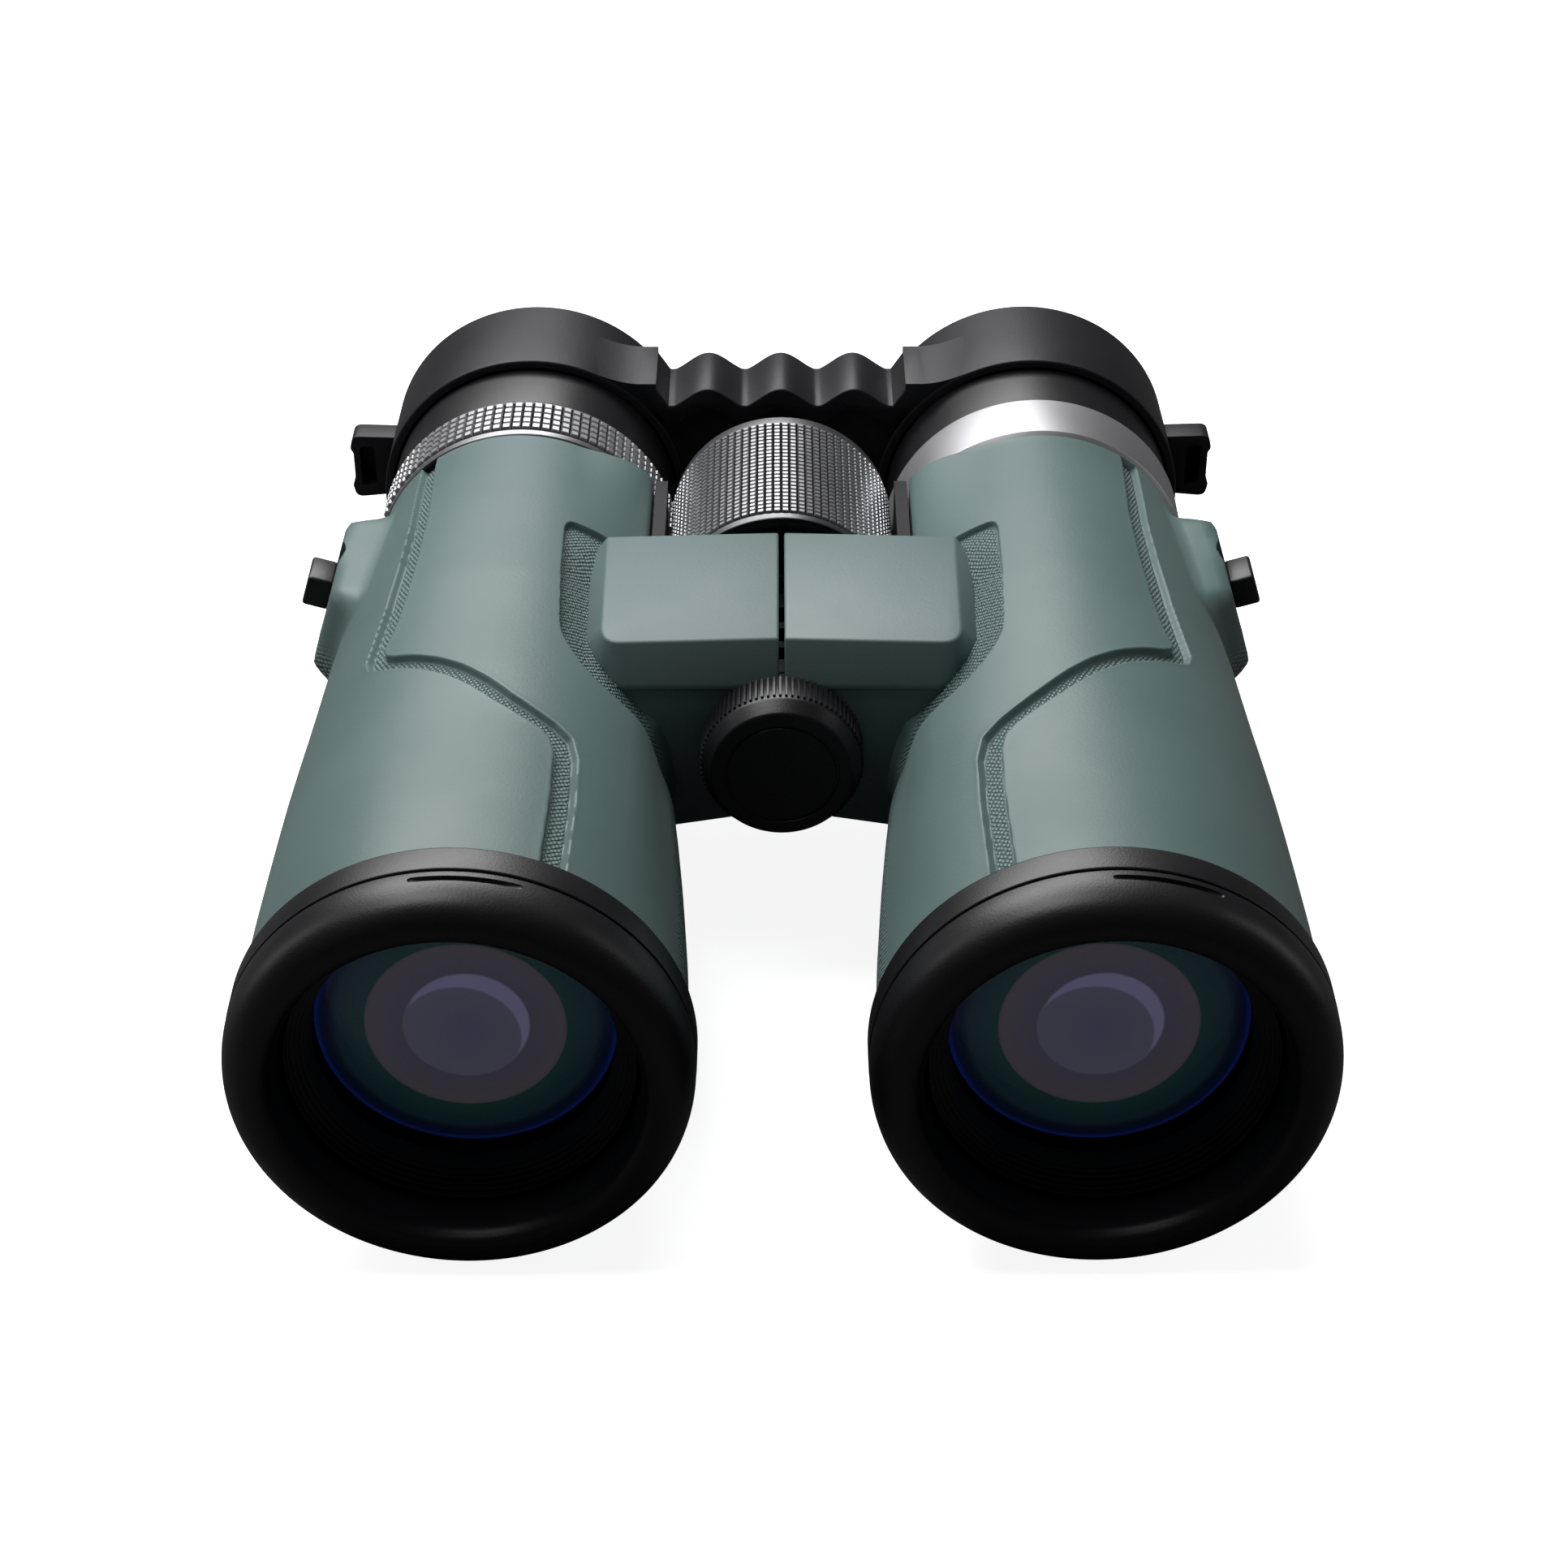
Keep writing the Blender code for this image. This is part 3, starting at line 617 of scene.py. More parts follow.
greenRubber = (0.100, 0.160, 0.160)
armourKind = {"smooth": 0.44, "rough": 0.56, "specular": 0.6, "sheen": 0.05}
rubbers = {n: rubberMaterial(n + "ArmourRubber", axes[n], greenRubber, armourKind, sides[n])
           for n in sides}
coverRubber = rubberMaterial("coverRubber", hinge, (0.110, 0.166, 0.170), armourKind)
blackPlastic = plasticMaterial("blackPlastic", (0.0075, 0.007, 0.0085), 0.40, 0.30, 0.5)
innerBlack = plasticMaterial("innerBlack", (0.004, 0.004, 0.0045), 0.5, 0.3, 0.35)
blackRubber = plasticMaterial("blackRubber", (0.016, 0.016, 0.019), 0.44, 0.40, 0.27)
greyCasting = plasticMaterial("greyCasting", (0.014, 0.014, 0.017), 0.5, 0.4, 0.25)
railPlastic = plasticMaterial("railPlastic", (0.010, 0.010, 0.012), 0.55, 0.4, 0.2)
silver = {n: metalMaterial(n + "Silver", (0.50, 0.50, 0.525), 0.42, axes[n]) for n in sides}
# valley: radii between which painted shade darkens the knurl of the dial and the wheel
dialSilver = metalMaterial("dialSilver", (0.68, 0.68, 0.71), 0.34, axes["left"], 0.2,
                           valley=(20.3, 20.85))
wheelSilver = metalMaterial("wheelSilver", (0.44, 0.44, 0.465), 0.33, hinge, 0.2,
                            valley=(14.7, 15.1))
darkSteel = metalMaterial("darkSteel", (0.03, 0.03, 0.033), 0.4, hinge)
print("materials made")


armour = {
    "line": [(4.5, 25.2), (16, 25.15), (25, 25.0), (32, 24.85), (39, 24.65), (46, 24.35),
             (53, 24.0), (61, 23.65), (68.5, 23.35), (90, 21.9), (109.5, 20.3)],
    "wall": 4.15,
    "wallBends": (88, 61, 32),
    "segments": 156,
    "row": 1.0,
    "finer": (1.6, 0.95, 0.6),  # mm either side of a groove's wall, finer each time
    "unrolled": 24.0,  # radius at which angles are taken as lengths
    "grooveDepth": 0.95,
    "trenchDepth": ([110.3, 122.0], [1.25, 2.7]),  # by angle
    "trenchRear": {"depth": 0.8, "stations": (72, 83)},
    "slope": 0.2,  # half the width of a groove's wall
    # station, angle above the outward horizontal, width
    "groove": {
        "left": [(111, 51.5, 2.9), (107, 52, 2.9), (89.5, 57, 2.9), (77, 58, 2.9), (66, 58, 2.9),
                 (57.5, 56.5, 2.9), (53.2, 55.0, 2.3), (51.0, 56.6, 2.4), (49.4, 60.5, 2.4),
                 (47.6, 67.7, 2.4), (45.4, 75.6, 2.4), (42.9, 83.2, 2.4), (39.9, 90.5, 2.4),
                 (36.6, 97.6, 2.4), (34.1, 104.6, 2.4), (32.3, 110.6, 2.4), (30.6, 114.4, 2.6),
                 (27.5, 116.0, 2.6), (19, 116.3, 2.6), (3.0, 115.3, 2.6)],
        "right": [(111, 53.5, 2.9), (107, 54, 2.9), (89.5, 59, 2.9), (77, 60, 2.9), (66, 60, 2.9),
                  (57.5, 58.5, 2.9), (53.6, 57.0, 2.3), (51.6, 58.6, 2.4), (50.2, 62.5, 2.4),
                  (48.6, 69.7, 2.4), (46.6, 77.6, 2.4), (44.2, 85.2, 2.4), (41.3, 92.5, 2.4),
                  (38.2, 99.6, 2.4), (35.6, 106.6, 2.4), (33.6, 112.6, 2.4), (31.6, 116.8, 2.6),
                  (28.5, 118.4, 2.6), (20, 118.7, 2.6), (3.0, 117.7, 2.6)],
    },
    # outline of the sunk bed of the bridge: station, angle
    "bed": [(84.9, 113.4), (84.7, 111.9), (84.0, 110.8), (82.8, 110.2), (70.0, 110.2),
            (59.5, 111.0), (57.2, 111.3), (55.4, 111.9), (53.8, 113.0), (51.6, 115.4),
            (49.2, 118.8), (47.2, 123.2), (45.9, 128.5), (45.1, 136.0), (44.9, 146.0),
            (44.9, 160.0), (44.9, 194.0), (84.9, 194.0)],
    "boss": {"lift": 17.0, "ends": (75.5, 80.5, 98.0, 103.5), "half": (5.2, 9.4), "plateau": 25.6,
             "recess": 5.9, "recessDepth": 2.1, "middle": 91.0},
    "dent": ([4, 17, 30, 43, 54], [0, 0.5, 1.1, 1.8, 2.1]),  # hollow of the inner flank
    "dentAngles": (136, 160, 205, 232),
    "fillet": {"from": 49.4, "to": 54.2, "rise": 1.6, "angles": (146.0, 157.0, 182.0, 190.0)},
    "shoulder": {"radius": 22.4, "angles": (113.0, 141.0), "stations": (83, 90)},
    "window": {"from": 17.4, "out": 3.0, "travel": 2.5, "gap": 0.4},
    "flat": 17.9,
    "flatFrom": 83.3,
    "castingGap": 1.8,
}


def armourRadius(station):
    stations, radii = zip(*armour["line"])
    return np.interp(station, stations, radii)


def pathDistance(path, station, arc):
    # distance to a drawn line and half the line's width there, all in mm
    best = np.full(len(station), 1e9)
    half = np.zeros(len(station))
    points = [(s, math.radians(a) * armour["unrolled"], w / 2) for s, a, w in path]
    for (s0, a0, w0), (s1, a1, w1) in zip(points, points[1:]):
        ds, da = s1 - s0, a1 - a0
        t = np.clip(((station - s0) * ds + (arc - a0) * da) / (ds * ds + da * da), 0, 1)
        gap = np.hypot(station - s0 - t * ds, arc - a0 - t * da)
        nearer = gap < best
        best = np.where(nearer, gap, best)
        half = np.where(nearer, w0 + t * (w1 - w0), half)
    return best - half


def outlineDistance(outline, station, arc):
    # distance to a closed outline in mm, negative inside it
    points = [(s, a, 0.0) for s, a in outline + outline[:1]]
    gap = pathDistance(points, station, arc)
    inside = np.zeros(len(station), bool)
    for (s0, a0, w0), (s1, a1, w1) in zip(points, points[1:]):
        r0, r1 = (math.radians(a) * armour["unrolled"] for a in (a0, a1))
        if r0 != r1:
            crosses = (arc < max(r0, r1)) & (arc >= min(r0, r1))
            inside ^= crosses & (station < s0 + (arc - r0) * (s1 - s0) / (r1 - r0))
    return np.where(inside, -gap, gap)


def armourFields(name, station, angle):
    # signed distances in mm, negative inside: groove, trench, recess of the boss
    arc = np.radians(angle) * armour["unrolled"]
    groove = pathDistance(armour["groove"][name], station, arc)
    trench = outlineDistance(armour["bed"], station, arc)
    boss = armour["boss"]
    across = np.radians(angle - boss["lift"]) * 26.0
    recess = np.hypot(station - boss["middle"], across) - boss["recess"]
    return groove, trench, recess, across


def cutForkWindow(piece, name):
    # slot behind the bridge cover, where the fork of the focusing cell slides
    side, centre = sides[name], axes[name]
    window = armour["window"]
    fork = [v.co for v in frame["nodes"][name + "_focus_cell"].data.vertices
            if (v.co.x - centre.x) * -side > window["from"] * mm]
    low = Vector([min(co[i] for co in fork) for i in range(3)])
    high = Vector([max(co[i] for co in fork) for i in range(3)])
    grow = Vector((window["out"], window["travel"], window["gap"])) * mm
    low, high = low - grow, high + grow
    bm = bmesh.new()
    bmesh.ops.create_cube(bm, size=1.0)
    bmesh.ops.scale(bm, vec=high - low, verts=bm.verts)
    bmesh.ops.translate(bm, vec=(low + high) / 2, verts=bm.verts)
    carve(piece, looseMesh(bm, name + "Window"))


def makeArmour(name):
    side, centre = sides[name], axes[name]
    first, last = armour["line"][0][0], armour["line"][-1][0]
    rows = int(round((last - first) / armour["row"]))
    outer = [first + (last - first) * i / rows for i in range(rows + 1)]
    outline = [(s, float(armourRadius(s))) for s in outer]
    outline += [(s, float(armourRadius(s)) - armour["wall"])
                for s in (last, *armour["wallBends"], first)]
    bm = bmesh.new()
    spinOutline(bm, outline, centre, armour["segments"])

    def measure():
        co = np.array([v.co for v in bm.verts])
        x = (co[:, 0] - centre.x) * side / mm
        z = (co[:, 2] - centre.z) / mm
        station = (co[:, 1] - seam) / mm
        angle = np.degrees(np.arctan2(z, x))
        angle = np.where(angle < -100, angle + 360, angle)
        radius = np.hypot(x, z)
        return station, angle, radius, radius > armourRadius(station) - 1.5

    for reach in armour["finer"]:
        station, angle, radius, isOuter = measure()
        groove, trench, recess, across = armourFields(name, station, angle)
        wall = np.minimum(np.minimum(abs(groove), abs(trench)), abs(recess))
        near = (wall < reach) & isOuter
        bm.verts.ensure_lookup_table()
        edges = [e for e in bm.edges if near[e.verts[0].index] and near[e.verts[1].index]]
        bmesh.ops.subdivide_edges(bm, edges=edges, cuts=1, use_grid_fill=True)
        bm.verts.index_update()

    for spot, normal in (((centre.x - side * armour["flat"] * mm, 0, 0), (1, 0, 0)),
                         ((0, seam + armour["flatFrom"] * mm, 0), (0, 1, 0))):
        bmesh.ops.bisect_plane(
            bm, geom=bm.verts[:] + bm.edges[:] + bm.faces[:], dist=1e-7,
            plane_co=spot, plane_no=normal,
        )
    bm.verts.index_update()
    bm.verts.ensure_lookup_table()
    station, angle, radius, isOuter = measure()
    groove, trench, recess, across = armourFields(name, station, angle)
    base = armourRadius(station)
    a0, a1, a2, a3 = armour["dentAngles"]
    dent = np.interp(station, *armour["dent"]) * smoothStep(angle, a0, a1)
    dent *= 1 - smoothStep(angle, a2, a3)
    base = base - dent
    # shoulder that fills up to the rail beside the wheel
    shoulder = armour["shoulder"]
    rise = np.maximum(0, shoulder["radius"] - base) * smoothStep(angle, *shoulder["angles"])
    base = base + rise * smoothStep(station, *shoulder["stations"])
    # the flank sweeps up into the front of the bridge
    fillet = armour["fillet"]
    run = np.clip((station - fillet["from"]) / (fillet["to"] - fillet["from"]), 0, 1)
    sweep = fillet["rise"] * (1 - np.sqrt(1 - run ** 2)) * smoothStep(angle, *fillet["angles"][:2])
    sweep *= 1 - smoothStep(angle, *fillet["angles"][2:])
    sweep = np.where(station < 57.5, sweep, 0)
    boss = armour["boss"]
    e0, e1, e2, e3 = boss["ends"]
    hill = smoothStep(station, e0, e1) * (1 - smoothStep(station, e2, e3))
    hill *= 1 - smoothStep(np.abs(across), boss["half"][0], boss["half"][1])
    top = boss["plateau"] / np.maximum(0.5, np.cos(np.radians(angle - boss["lift"])))
    base = base + np.maximum(0, top - base) * hill
    slope = armour["slope"]
    inGroove = 1 - smoothStep(groove, -slope, slope)
    inTrench = 1 - smoothStep(trench, -slope, slope)
    inRecess = 1 - smoothStep(recess, -slope, slope)
    deep = np.interp(angle, *armour["trenchDepth"])
    shallow = armour["trenchRear"]
    deep -= (deep - shallow["depth"]) * smoothStep(station, *shallow["stations"])
    trenchDepth = np.maximum(deep - dent, shallow["depth"])
    lip = 0.03 * np.exp(-((groove - 0.4) / 0.22) ** 2) * (trench > 0.6)
    sunk = np.maximum(inGroove * armour["grooveDepth"], inTrench * trenchDepth)
    radiusNew = base - sunk + sweep - inRecess * boss["recessDepth"] + lip
    sink = np.where(isOuter, radiusNew / radius, 1.0)
    knitted = np.maximum(1 - smoothStep(groove, -0.45, -0.2), 1 - smoothStep(trench, -0.45, -0.2))
    knitted *= 1 - smoothStep(sweep, 0.05, 0.4)
    below = np.maximum(1 - smoothStep(angle, 4, 14), smoothStep(angle, 160, 171))
    below *= 1 - smoothStep(station, 40, 44) * smoothStep(angle, 140, 150) * (angle < 200)
    flat = armour["flat"]
    for i, vert in enumerate(bm.verts):
        if isOuter[i]:
            vert.co.x = centre.x + (vert.co.x - centre.x) * sink[i]
            vert.co.z = centre.z + (vert.co.z - centre.z) * sink[i]
        if station[i] > armour["flatFrom"] - 1e-3:
            drop = -3.4 - (vert.co.z - centre.z) / mm
            limit = flat + max(0.0, drop) * 1.4
            if (vert.co.x - centre.x) * -side / mm > limit:
                vert.co.x = centre.x - side * limit * mm
    piece = finishPiece(bm, name + "Armour", rubbers[name], None,
                        [name + "_armour"], angle=50, tidy=False)
    for label, values in (("groove", knitted), ("grip", below)):
        attribute = piece.data.attributes.new(label, "FLOAT", "POINT")
        attribute.data.foreach_set("value", values.astype(np.float32))
    cutForkWindow(piece, name)
    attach(piece, name + "_barrel")
    print(name, "armour", len(piece.data.polygons), "faces")
    return piece


def makeCasting(name):
    # the barrel's metal body, drawn in a little so that it stays under the sunk rubber
    side, centre = sides[name], axes[name]
    bm = bmesh.new()
    bm.from_mesh(frame["nodes"][name + "_chassis"].data)
    bmesh.ops.remove_doubles(bm, verts=bm.verts, dist=1e-6)
    for vert in bm.verts:
        station = (vert.co.y - seam) / mm
        reach = math.hypot(vert.co.x - centre.x, vert.co.z - centre.z) / mm
        skin = float(armourRadius(station)) - armour["castingGap"]
        if 4.3 < station < 108.5 and abs(reach - skin) < 0.35:
            shrink = (skin - armour["castingGap"]) / reach
            vert.co.x = centre.x + (vert.co.x - centre.x) * shrink
            vert.co.z = centre.z + (vert.co.z - centre.z) * shrink
    finishPiece(bm, name + "Casting", greyCasting, name + "_barrel",
                [name + "_chassis"], tidy=False)


for barrel in sides:
    makeArmour(barrel)
    makeCasting(barrel)
print("barrels made")


bezel = {
    "outline": [(-0.1, 21.2), (-0.1, 26.0, 0.25), (-2.3, 26.0, 1.2), (-4.5, 25.45, 1.2),
                (-6.05, 24.0, 1.2), (-6.5, 22.3, 0.9), (-6.2, 21.0, 0.6), (-4.9, 20.25, 0.5),
                (-0.5, 19.95), (5.0, 19.9), (14.0, 19.9), (14.0, 21.2)],
    "radius": 26.0,
    "notch": {"left": -2.1, "right": 5.5},  # pry notch, outward from the top of the rim
    "notchSize": (12.4, 0.85, 1.1),
    "notchStation": -1.45,
}
frontElement = {"radius": 17.2, "front": 3.0, "sag": 1.9, "back": 5.6, "backSag": 0.3}
innerElement = {"radius": 17.0, "front": 6.0, "sag": 0.9, "back": 9.5}
collarOutline = [(0.2, 22.9), (0.2, 26.05, 0.25), (4.2, 26.05, 0.3), (4.2, 22.9)]
lensRing = {
    "front": -0.6, "back": 4.4, "outer": 19.7, "inner": 16.95, "ridges": 4,
    "first": 0.35, "pitch": 0.44,
}


def makeObjective(name):
    side, centre, body = sides[name], axes[name], name + "_barrel"
    rim = turnedPiece(name + "Bezel", bezel["outline"], centre, blackPlastic,
                      body, [name + "_bezel"], 180)
    length, wide, deep = bezel["notchSize"]
    bm = bmesh.new()
    bmesh.ops.create_cube(bm, size=1.0)
    bmesh.ops.scale(bm, verts=bm.verts, vec=(length * mm, wide * mm, 2 * mm))
    softenEdges(bm, 0.45, 4, 60)
    top = math.sqrt(bezel["radius"] ** 2 - (length / 2) ** 2)
    offset = side * bezel["notch"][name]
    tilt = math.atan2(offset, bezel["radius"])
    bmesh.ops.translate(bm, verts=bm.verts, vec=(0, 0, (top + 1.0 - deep * 0.15) * mm))
    bmesh.ops.rotate(bm, verts=bm.verts, cent=(0, 0, 0), matrix=Matrix.Rotation(tilt, 3, "Y"))
    bmesh.ops.translate(bm, verts=bm.verts,
                        vec=(centre.x, seam + bezel["notchStation"] * mm, centre.z))
    carve(rim, looseMesh(bm, name + "Notch"))
    rim.data.set_sharp_from_angle(angle=math.radians(32))
    turnedPiece(name + "Collar", collarOutline, centre, blackPlastic,
                body, [name + "_collar"], 180)
    ring = [(lensRing["front"], 19.4), (lensRing["front"], 19.25, 0.1)]
    for i in range(lensRing["ridges"]):
        s = lensRing["first"] + lensRing["pitch"] * i
        r = 19.3 - 0.5 * i
        ring += [(s, r, 0.05), (s, r - 0.30, 0.08), (s + 0.26, r - 0.36), (s + 0.26, r - 0.5)]
    ring += [(2.2, 17.3, 0.15), (lensRing["back"], lensRing["inner"]), (lensRing["back"], 19.7),
             (0.0, 19.7)]
    turnedPiece(name + "RetainingRing", ring, centre, blackPlastic,
                body, [name + "_retaining_ring"], 180)
    # front element: convex towards the view, thin enough to look through
    lens = frontElement
    edge = lens["radius"]
    curve = [(lens["front"] + lens["sag"] * (r / edge) ** 2, r) for r in np.linspace(0, edge, 22)]
    back = [(lens["back"] - lens["backSag"] * (r / edge) ** 2, r)
            for r in np.linspace(edge, 0, 12)]
    turnedPiece(name + "FrontElement", curve + back, centre, frontGlass[name],
                body, [name + "_objective_lens"], 128)
    # second element, whose coating shows through it; its rings and violet crescent are painted
    # reflections that glow
    lens = innerElement
    edge = lens["radius"]
    inner = [(lens["front"] + lens["sag"] * (r / edge) ** 2, r) for r in np.linspace(0, edge, 30)]
    inner += [(lens["back"], edge), (lens["back"], 0.0)]
    turnedPiece(name + "InnerElement", inner, centre, innerGlowingGlass[name], body, (), 128)


frontRings = [(0, (0.30, 0.28, 0.45)), (14, (0.28, 0.34, 0.60)), (17.5, (0.05, 0.10, 0.60))]
# rings of the inner element: painted reflections of the coatings, made to glow
innerPaintedRings = [(0, (0.040, 0.039, 0.066)), (6.9, (0.046, 0.045, 0.066)),
              (7.15, (0.032, 0.029, 0.042)), (10.8, (0.036, 0.032, 0.040)),
              (11.2, (0.034, 0.030, 0.036)),
              (11.45, (0.0044, 0.0150, 0.0145)), (14.6, (0.0035, 0.0100, 0.0130)),
              (15.2, (0.0025, 0.0050, 0.0090)), (15.45, (0.0016, 0.0032, 0.0080)),
              (16.3, (0.0012, 0.0028, 0.0120)), (16.8, (0.0020, 0.0060, 0.0450))]
frontGlass = {n: coatedGlass(n + "FrontCoating", axes[n], frontRings, 0.06, 0.04, 1.0)
              for n in sides}
innerGlowingGlass = {n: coatedGlass(n + "InnerGlowingCoating", axes[n], innerPaintedRings, 1.0, 0.2, 0.0, 0.85)
              for n in sides}
for barrel in sides:
    makeObjective(barrel)
print("objectives made")


bridge = {
    "gap": 0.35,
    "skirt": 14.2,
    "lower": {"front": 53.8, "corner": (19.2, 24.3, 60.4), "control": (22.9, 55.0),
              "side": 24.5, "rear": 82.0, "zFront": 15.0, "zSide": 17.3},
    "upper": {"front": 56.0, "corner": (19.6, 22.1, 60.0), "control": (22.1, 56.0),
              "side": 22.4, "rear": 82.3, "zMiddle": 20.5, "zSide": 19.9},
    "edge": 0.32,
    "web": [(0.35, 15.0), (24.0, 15.0), (24.0, -6.6), (14.5, -6.1), (6.2, -4.7), (0.45, 6.4)],
}


def plannedLoop(bm, side, part, rises, steps=10):
    x0, x1, s1 = part["corner"]
    cx, cs = part["control"]
    points = [(bridge["gap"], part["front"])]
    for i in range(steps + 1):
        t = i / steps
        x = x0 * (1 - t) ** 2 + cx * 2 * t * (1 - t) + x1 * t * t
        s = part["front"] * (1 - t) ** 2 + cs * 2 * t * (1 - t) + s1 * t * t
        points.append((x, s))
    points += [(part["side"], part["rear"]), (bridge["gap"], part["rear"])]
    verts = [bm.verts.new(at(side * x, s, rises(x, s))) for x, s in points]
    return [bm.edges.new((a, b)) for a, b in zip(verts, verts[1:] + verts[:1])]


def makeBridgeCover(name):
    side = sides[name]
    lower, upper = bridge["lower"], bridge["upper"]

    def lowRise(x, s):
        share = min(1.0, max(0.0, (s - lower["front"]) / (lower["corner"][2] - lower["front"])))
        return lower["zFront"] + (lower["zSide"] - lower["zFront"]) * share

    def highRise(x, s):
        return upper["zMiddle"] + (upper["zSide"] - upper["zMiddle"]) * x / upper["side"]

    bm = bmesh.new()
    skirt = plannedLoop(bm, side, lower, lambda x, s: bridge["skirt"])
    low = plannedLoop(bm, side, lower, lowRise)
    high = plannedLoop(bm, side, upper, highRise)
    bmesh.ops.bridge_loops(bm, edges=skirt + low)
    bmesh.ops.bridge_loops(bm, edges=low + high)
    bmesh.ops.edgeloop_fill(bm, edges=high)
    bmesh.ops.edgeloop_fill(bm, edges=skirt)
    bmesh.ops.recalc_face_normals(bm, faces=bm.faces)
    softenEdges(bm, bridge["edge"], 3, 18)
    finishPiece(bm, name + "BridgeCover", coverRubber, name + "_barrel",
                [name + "_bridge_cover"], angle=60)
    bm = bmesh.new()
    outline = [(side * x, z) for x, z in bridge["web"]]
    drawnPrism(bm, outline, lower["front"] + 0.3, 56.6)
    softenEdges(bm, 0.3, 3, 25)
    finishPiece(bm, name + "BridgeWeb", coverRubber, name + "_barrel", (), angle=60)


for barrel in sides:
    makeBridgeCover(barrel)
print("bridge made")


cap = {
    "outline": [(46.4, 0.0), (46.4, 6.55), (46.62, 6.65), (46.62, 6.95), (46.4, 7.05),
                (46.4, 8.7, 0.3), (48.3, 9.75, 0.25), (48.7, 9.75), (52.9, 9.75), (53.4, 9.5, 0.2),
                (53.4, 8.3), (48.4, 8.3), (48.4, 0.0)],
    "rim": 9.75,
    "ribs": 84,
    "ribSpan": (48.6, 53.0),
    "ribMargin": 0.05,
    "ribHeight": 0.27,
}


def makeCap():
    bm = bmesh.new()
    spinOutline(bm, softOutline(cap["outline"]), hinge, cap["ribs"] * 2)
    step = math.pi / cap["ribs"]

    def onRib(middle):
        turn = math.atan2(middle.z - hinge.z, middle.x - hinge.x)
        return int(math.floor(turn / step)) % 2 == 0

    raisePips(bm, hinge, cap["ribSpan"], cap["rim"], cap["ribMargin"], cap["ribHeight"], onRib)
    finishPiece(bm, "SocketCap", blackPlastic, "cap", ["tripod_cap"])


makeCap()
print("cap made")


wheel = {
    "front": [(83.4, 3.0), (83.4, 14.3, 0.3), (83.75, 14.8, 0.2), (84.9, 14.85, 0.15)],
    "rows": 25, "start": 85.0, "end": 109.8, "columns": 88, "base": 14.65,
    "back": [(110.0, 14.9, 0.15), (111.9, 14.85, 0.25), (112.3, 14.4, 0.2), (112.3, 12.9, 0.2),
             (110.2, 12.6), (108.0, 12.4), (86.0, 12.4), (86.0, 3.0)],
    "margin": 0.20, "height": 0.5, "longer": 0.9,
}
dialRing = {
    "front": [(109.3, 18.6), (109.3, 20.1), (109.7, 20.5, 0.1), (110.7, 20.55, 0.12)],
    "rows": 5, "start": 110.9, "end": 118.5, "columns": 96, "base": 20.25,
    "back": [(118.65, 20.55, 0.1), (119.2, 20.5, 0.15), (119.2, 18.6)],
    "margin": 0.24, "height": 0.62, "longer": 0.88,
}


def knurledPiece(name, shape, centre, material, body, replaces):
    step = (shape["end"] - shape["start"]) / shape["rows"]
    middle = [(shape["start"] + i * step, shape["base"]) for i in range(shape["rows"] + 1)]
    bm = bmesh.new()
    outline = softOutline(shape["front"]) + middle + softOutline(shape["back"])
    spinOutline(bm, outline, centre, shape["columns"])
    raisePips(bm, centre, (shape["start"], shape["end"]), shape["base"],
              shape["margin"], shape["height"], None, shape["longer"])
    return finishPiece(bm, name, material, body, replaces, angle=28)


knurledPiece("FocusWheel", wheel, hinge, wheelSilver, "focus_knob", ["focus_wheel"])
knurledPiece("DiopterRing", dialRing, axes["left"], dialSilver, "diopter", ["diopter_ring"])
plainRing = [(109.3, 18.6), (109.3, 20.3), (109.8, 20.8, 0.12), (118.9, 20.9, 0.25),
             (119.2, 20.5), (119.2, 18.6)]
turnedPiece("PlainRing", plainRing, axes["right"], silver["right"],
            "right_barrel", ["right_trim_ring"], 180)
wheelCap = [(107.8, 0.0), (107.8, 12.2), (110.1, 12.2, 0.3), (110.1, 8.4), (109.7, 8.2),
            (109.7, 0.0)]
turnedPiece("WheelCap", wheelCap, hinge, blackPlastic, "focus_knob",
            ["focus_wheel_cap"], 96)
print("knurled parts made")


eyepiece = {
    "housing": [(104.4, 13.6), (104.4, 16.2), (109.6, 16.2), (109.6, 18.2), (119.4, 18.2),
                (119.4, 20.0), (119.55, 20.3, 0.1), (131.4, 20.3, 0.4), (131.4, 15.1),
                (138.4, 15.1, 0.2), (138.4, 12.8), (120.0, 12.8)],
    "sleeve": [(134.6, 15.4), (134.6, 17.9), (140.0, 17.9), (140.0, 15.4)],
    "guide": [(131.7, 15.4), (131.7, 17.9), (134.3, 17.9), (134.3, 15.4)],
    "cup": [(131.8, 18.2), (131.8, 19.5, 0.2)],
    "cupRim": [(141.0, 19.55, 0.5), (142.0, 18.4, 0.5), (142.0, 15.4, 0.5), (140.9, 13.8, 0.3),
               (140.3, 13.8), (140.3, 18.2)],
    "ribs": 5, "firstRib": 133.0, "ribPitch": 1.5,
    "ribCrest": 19.55, "ribValley": 19.15, "ribSoft": 0.1,
    "lens": {"front": 127.5, "rear": 136.2, "radius": 12.5, "bulge": 1.2, "steps": 14},
}


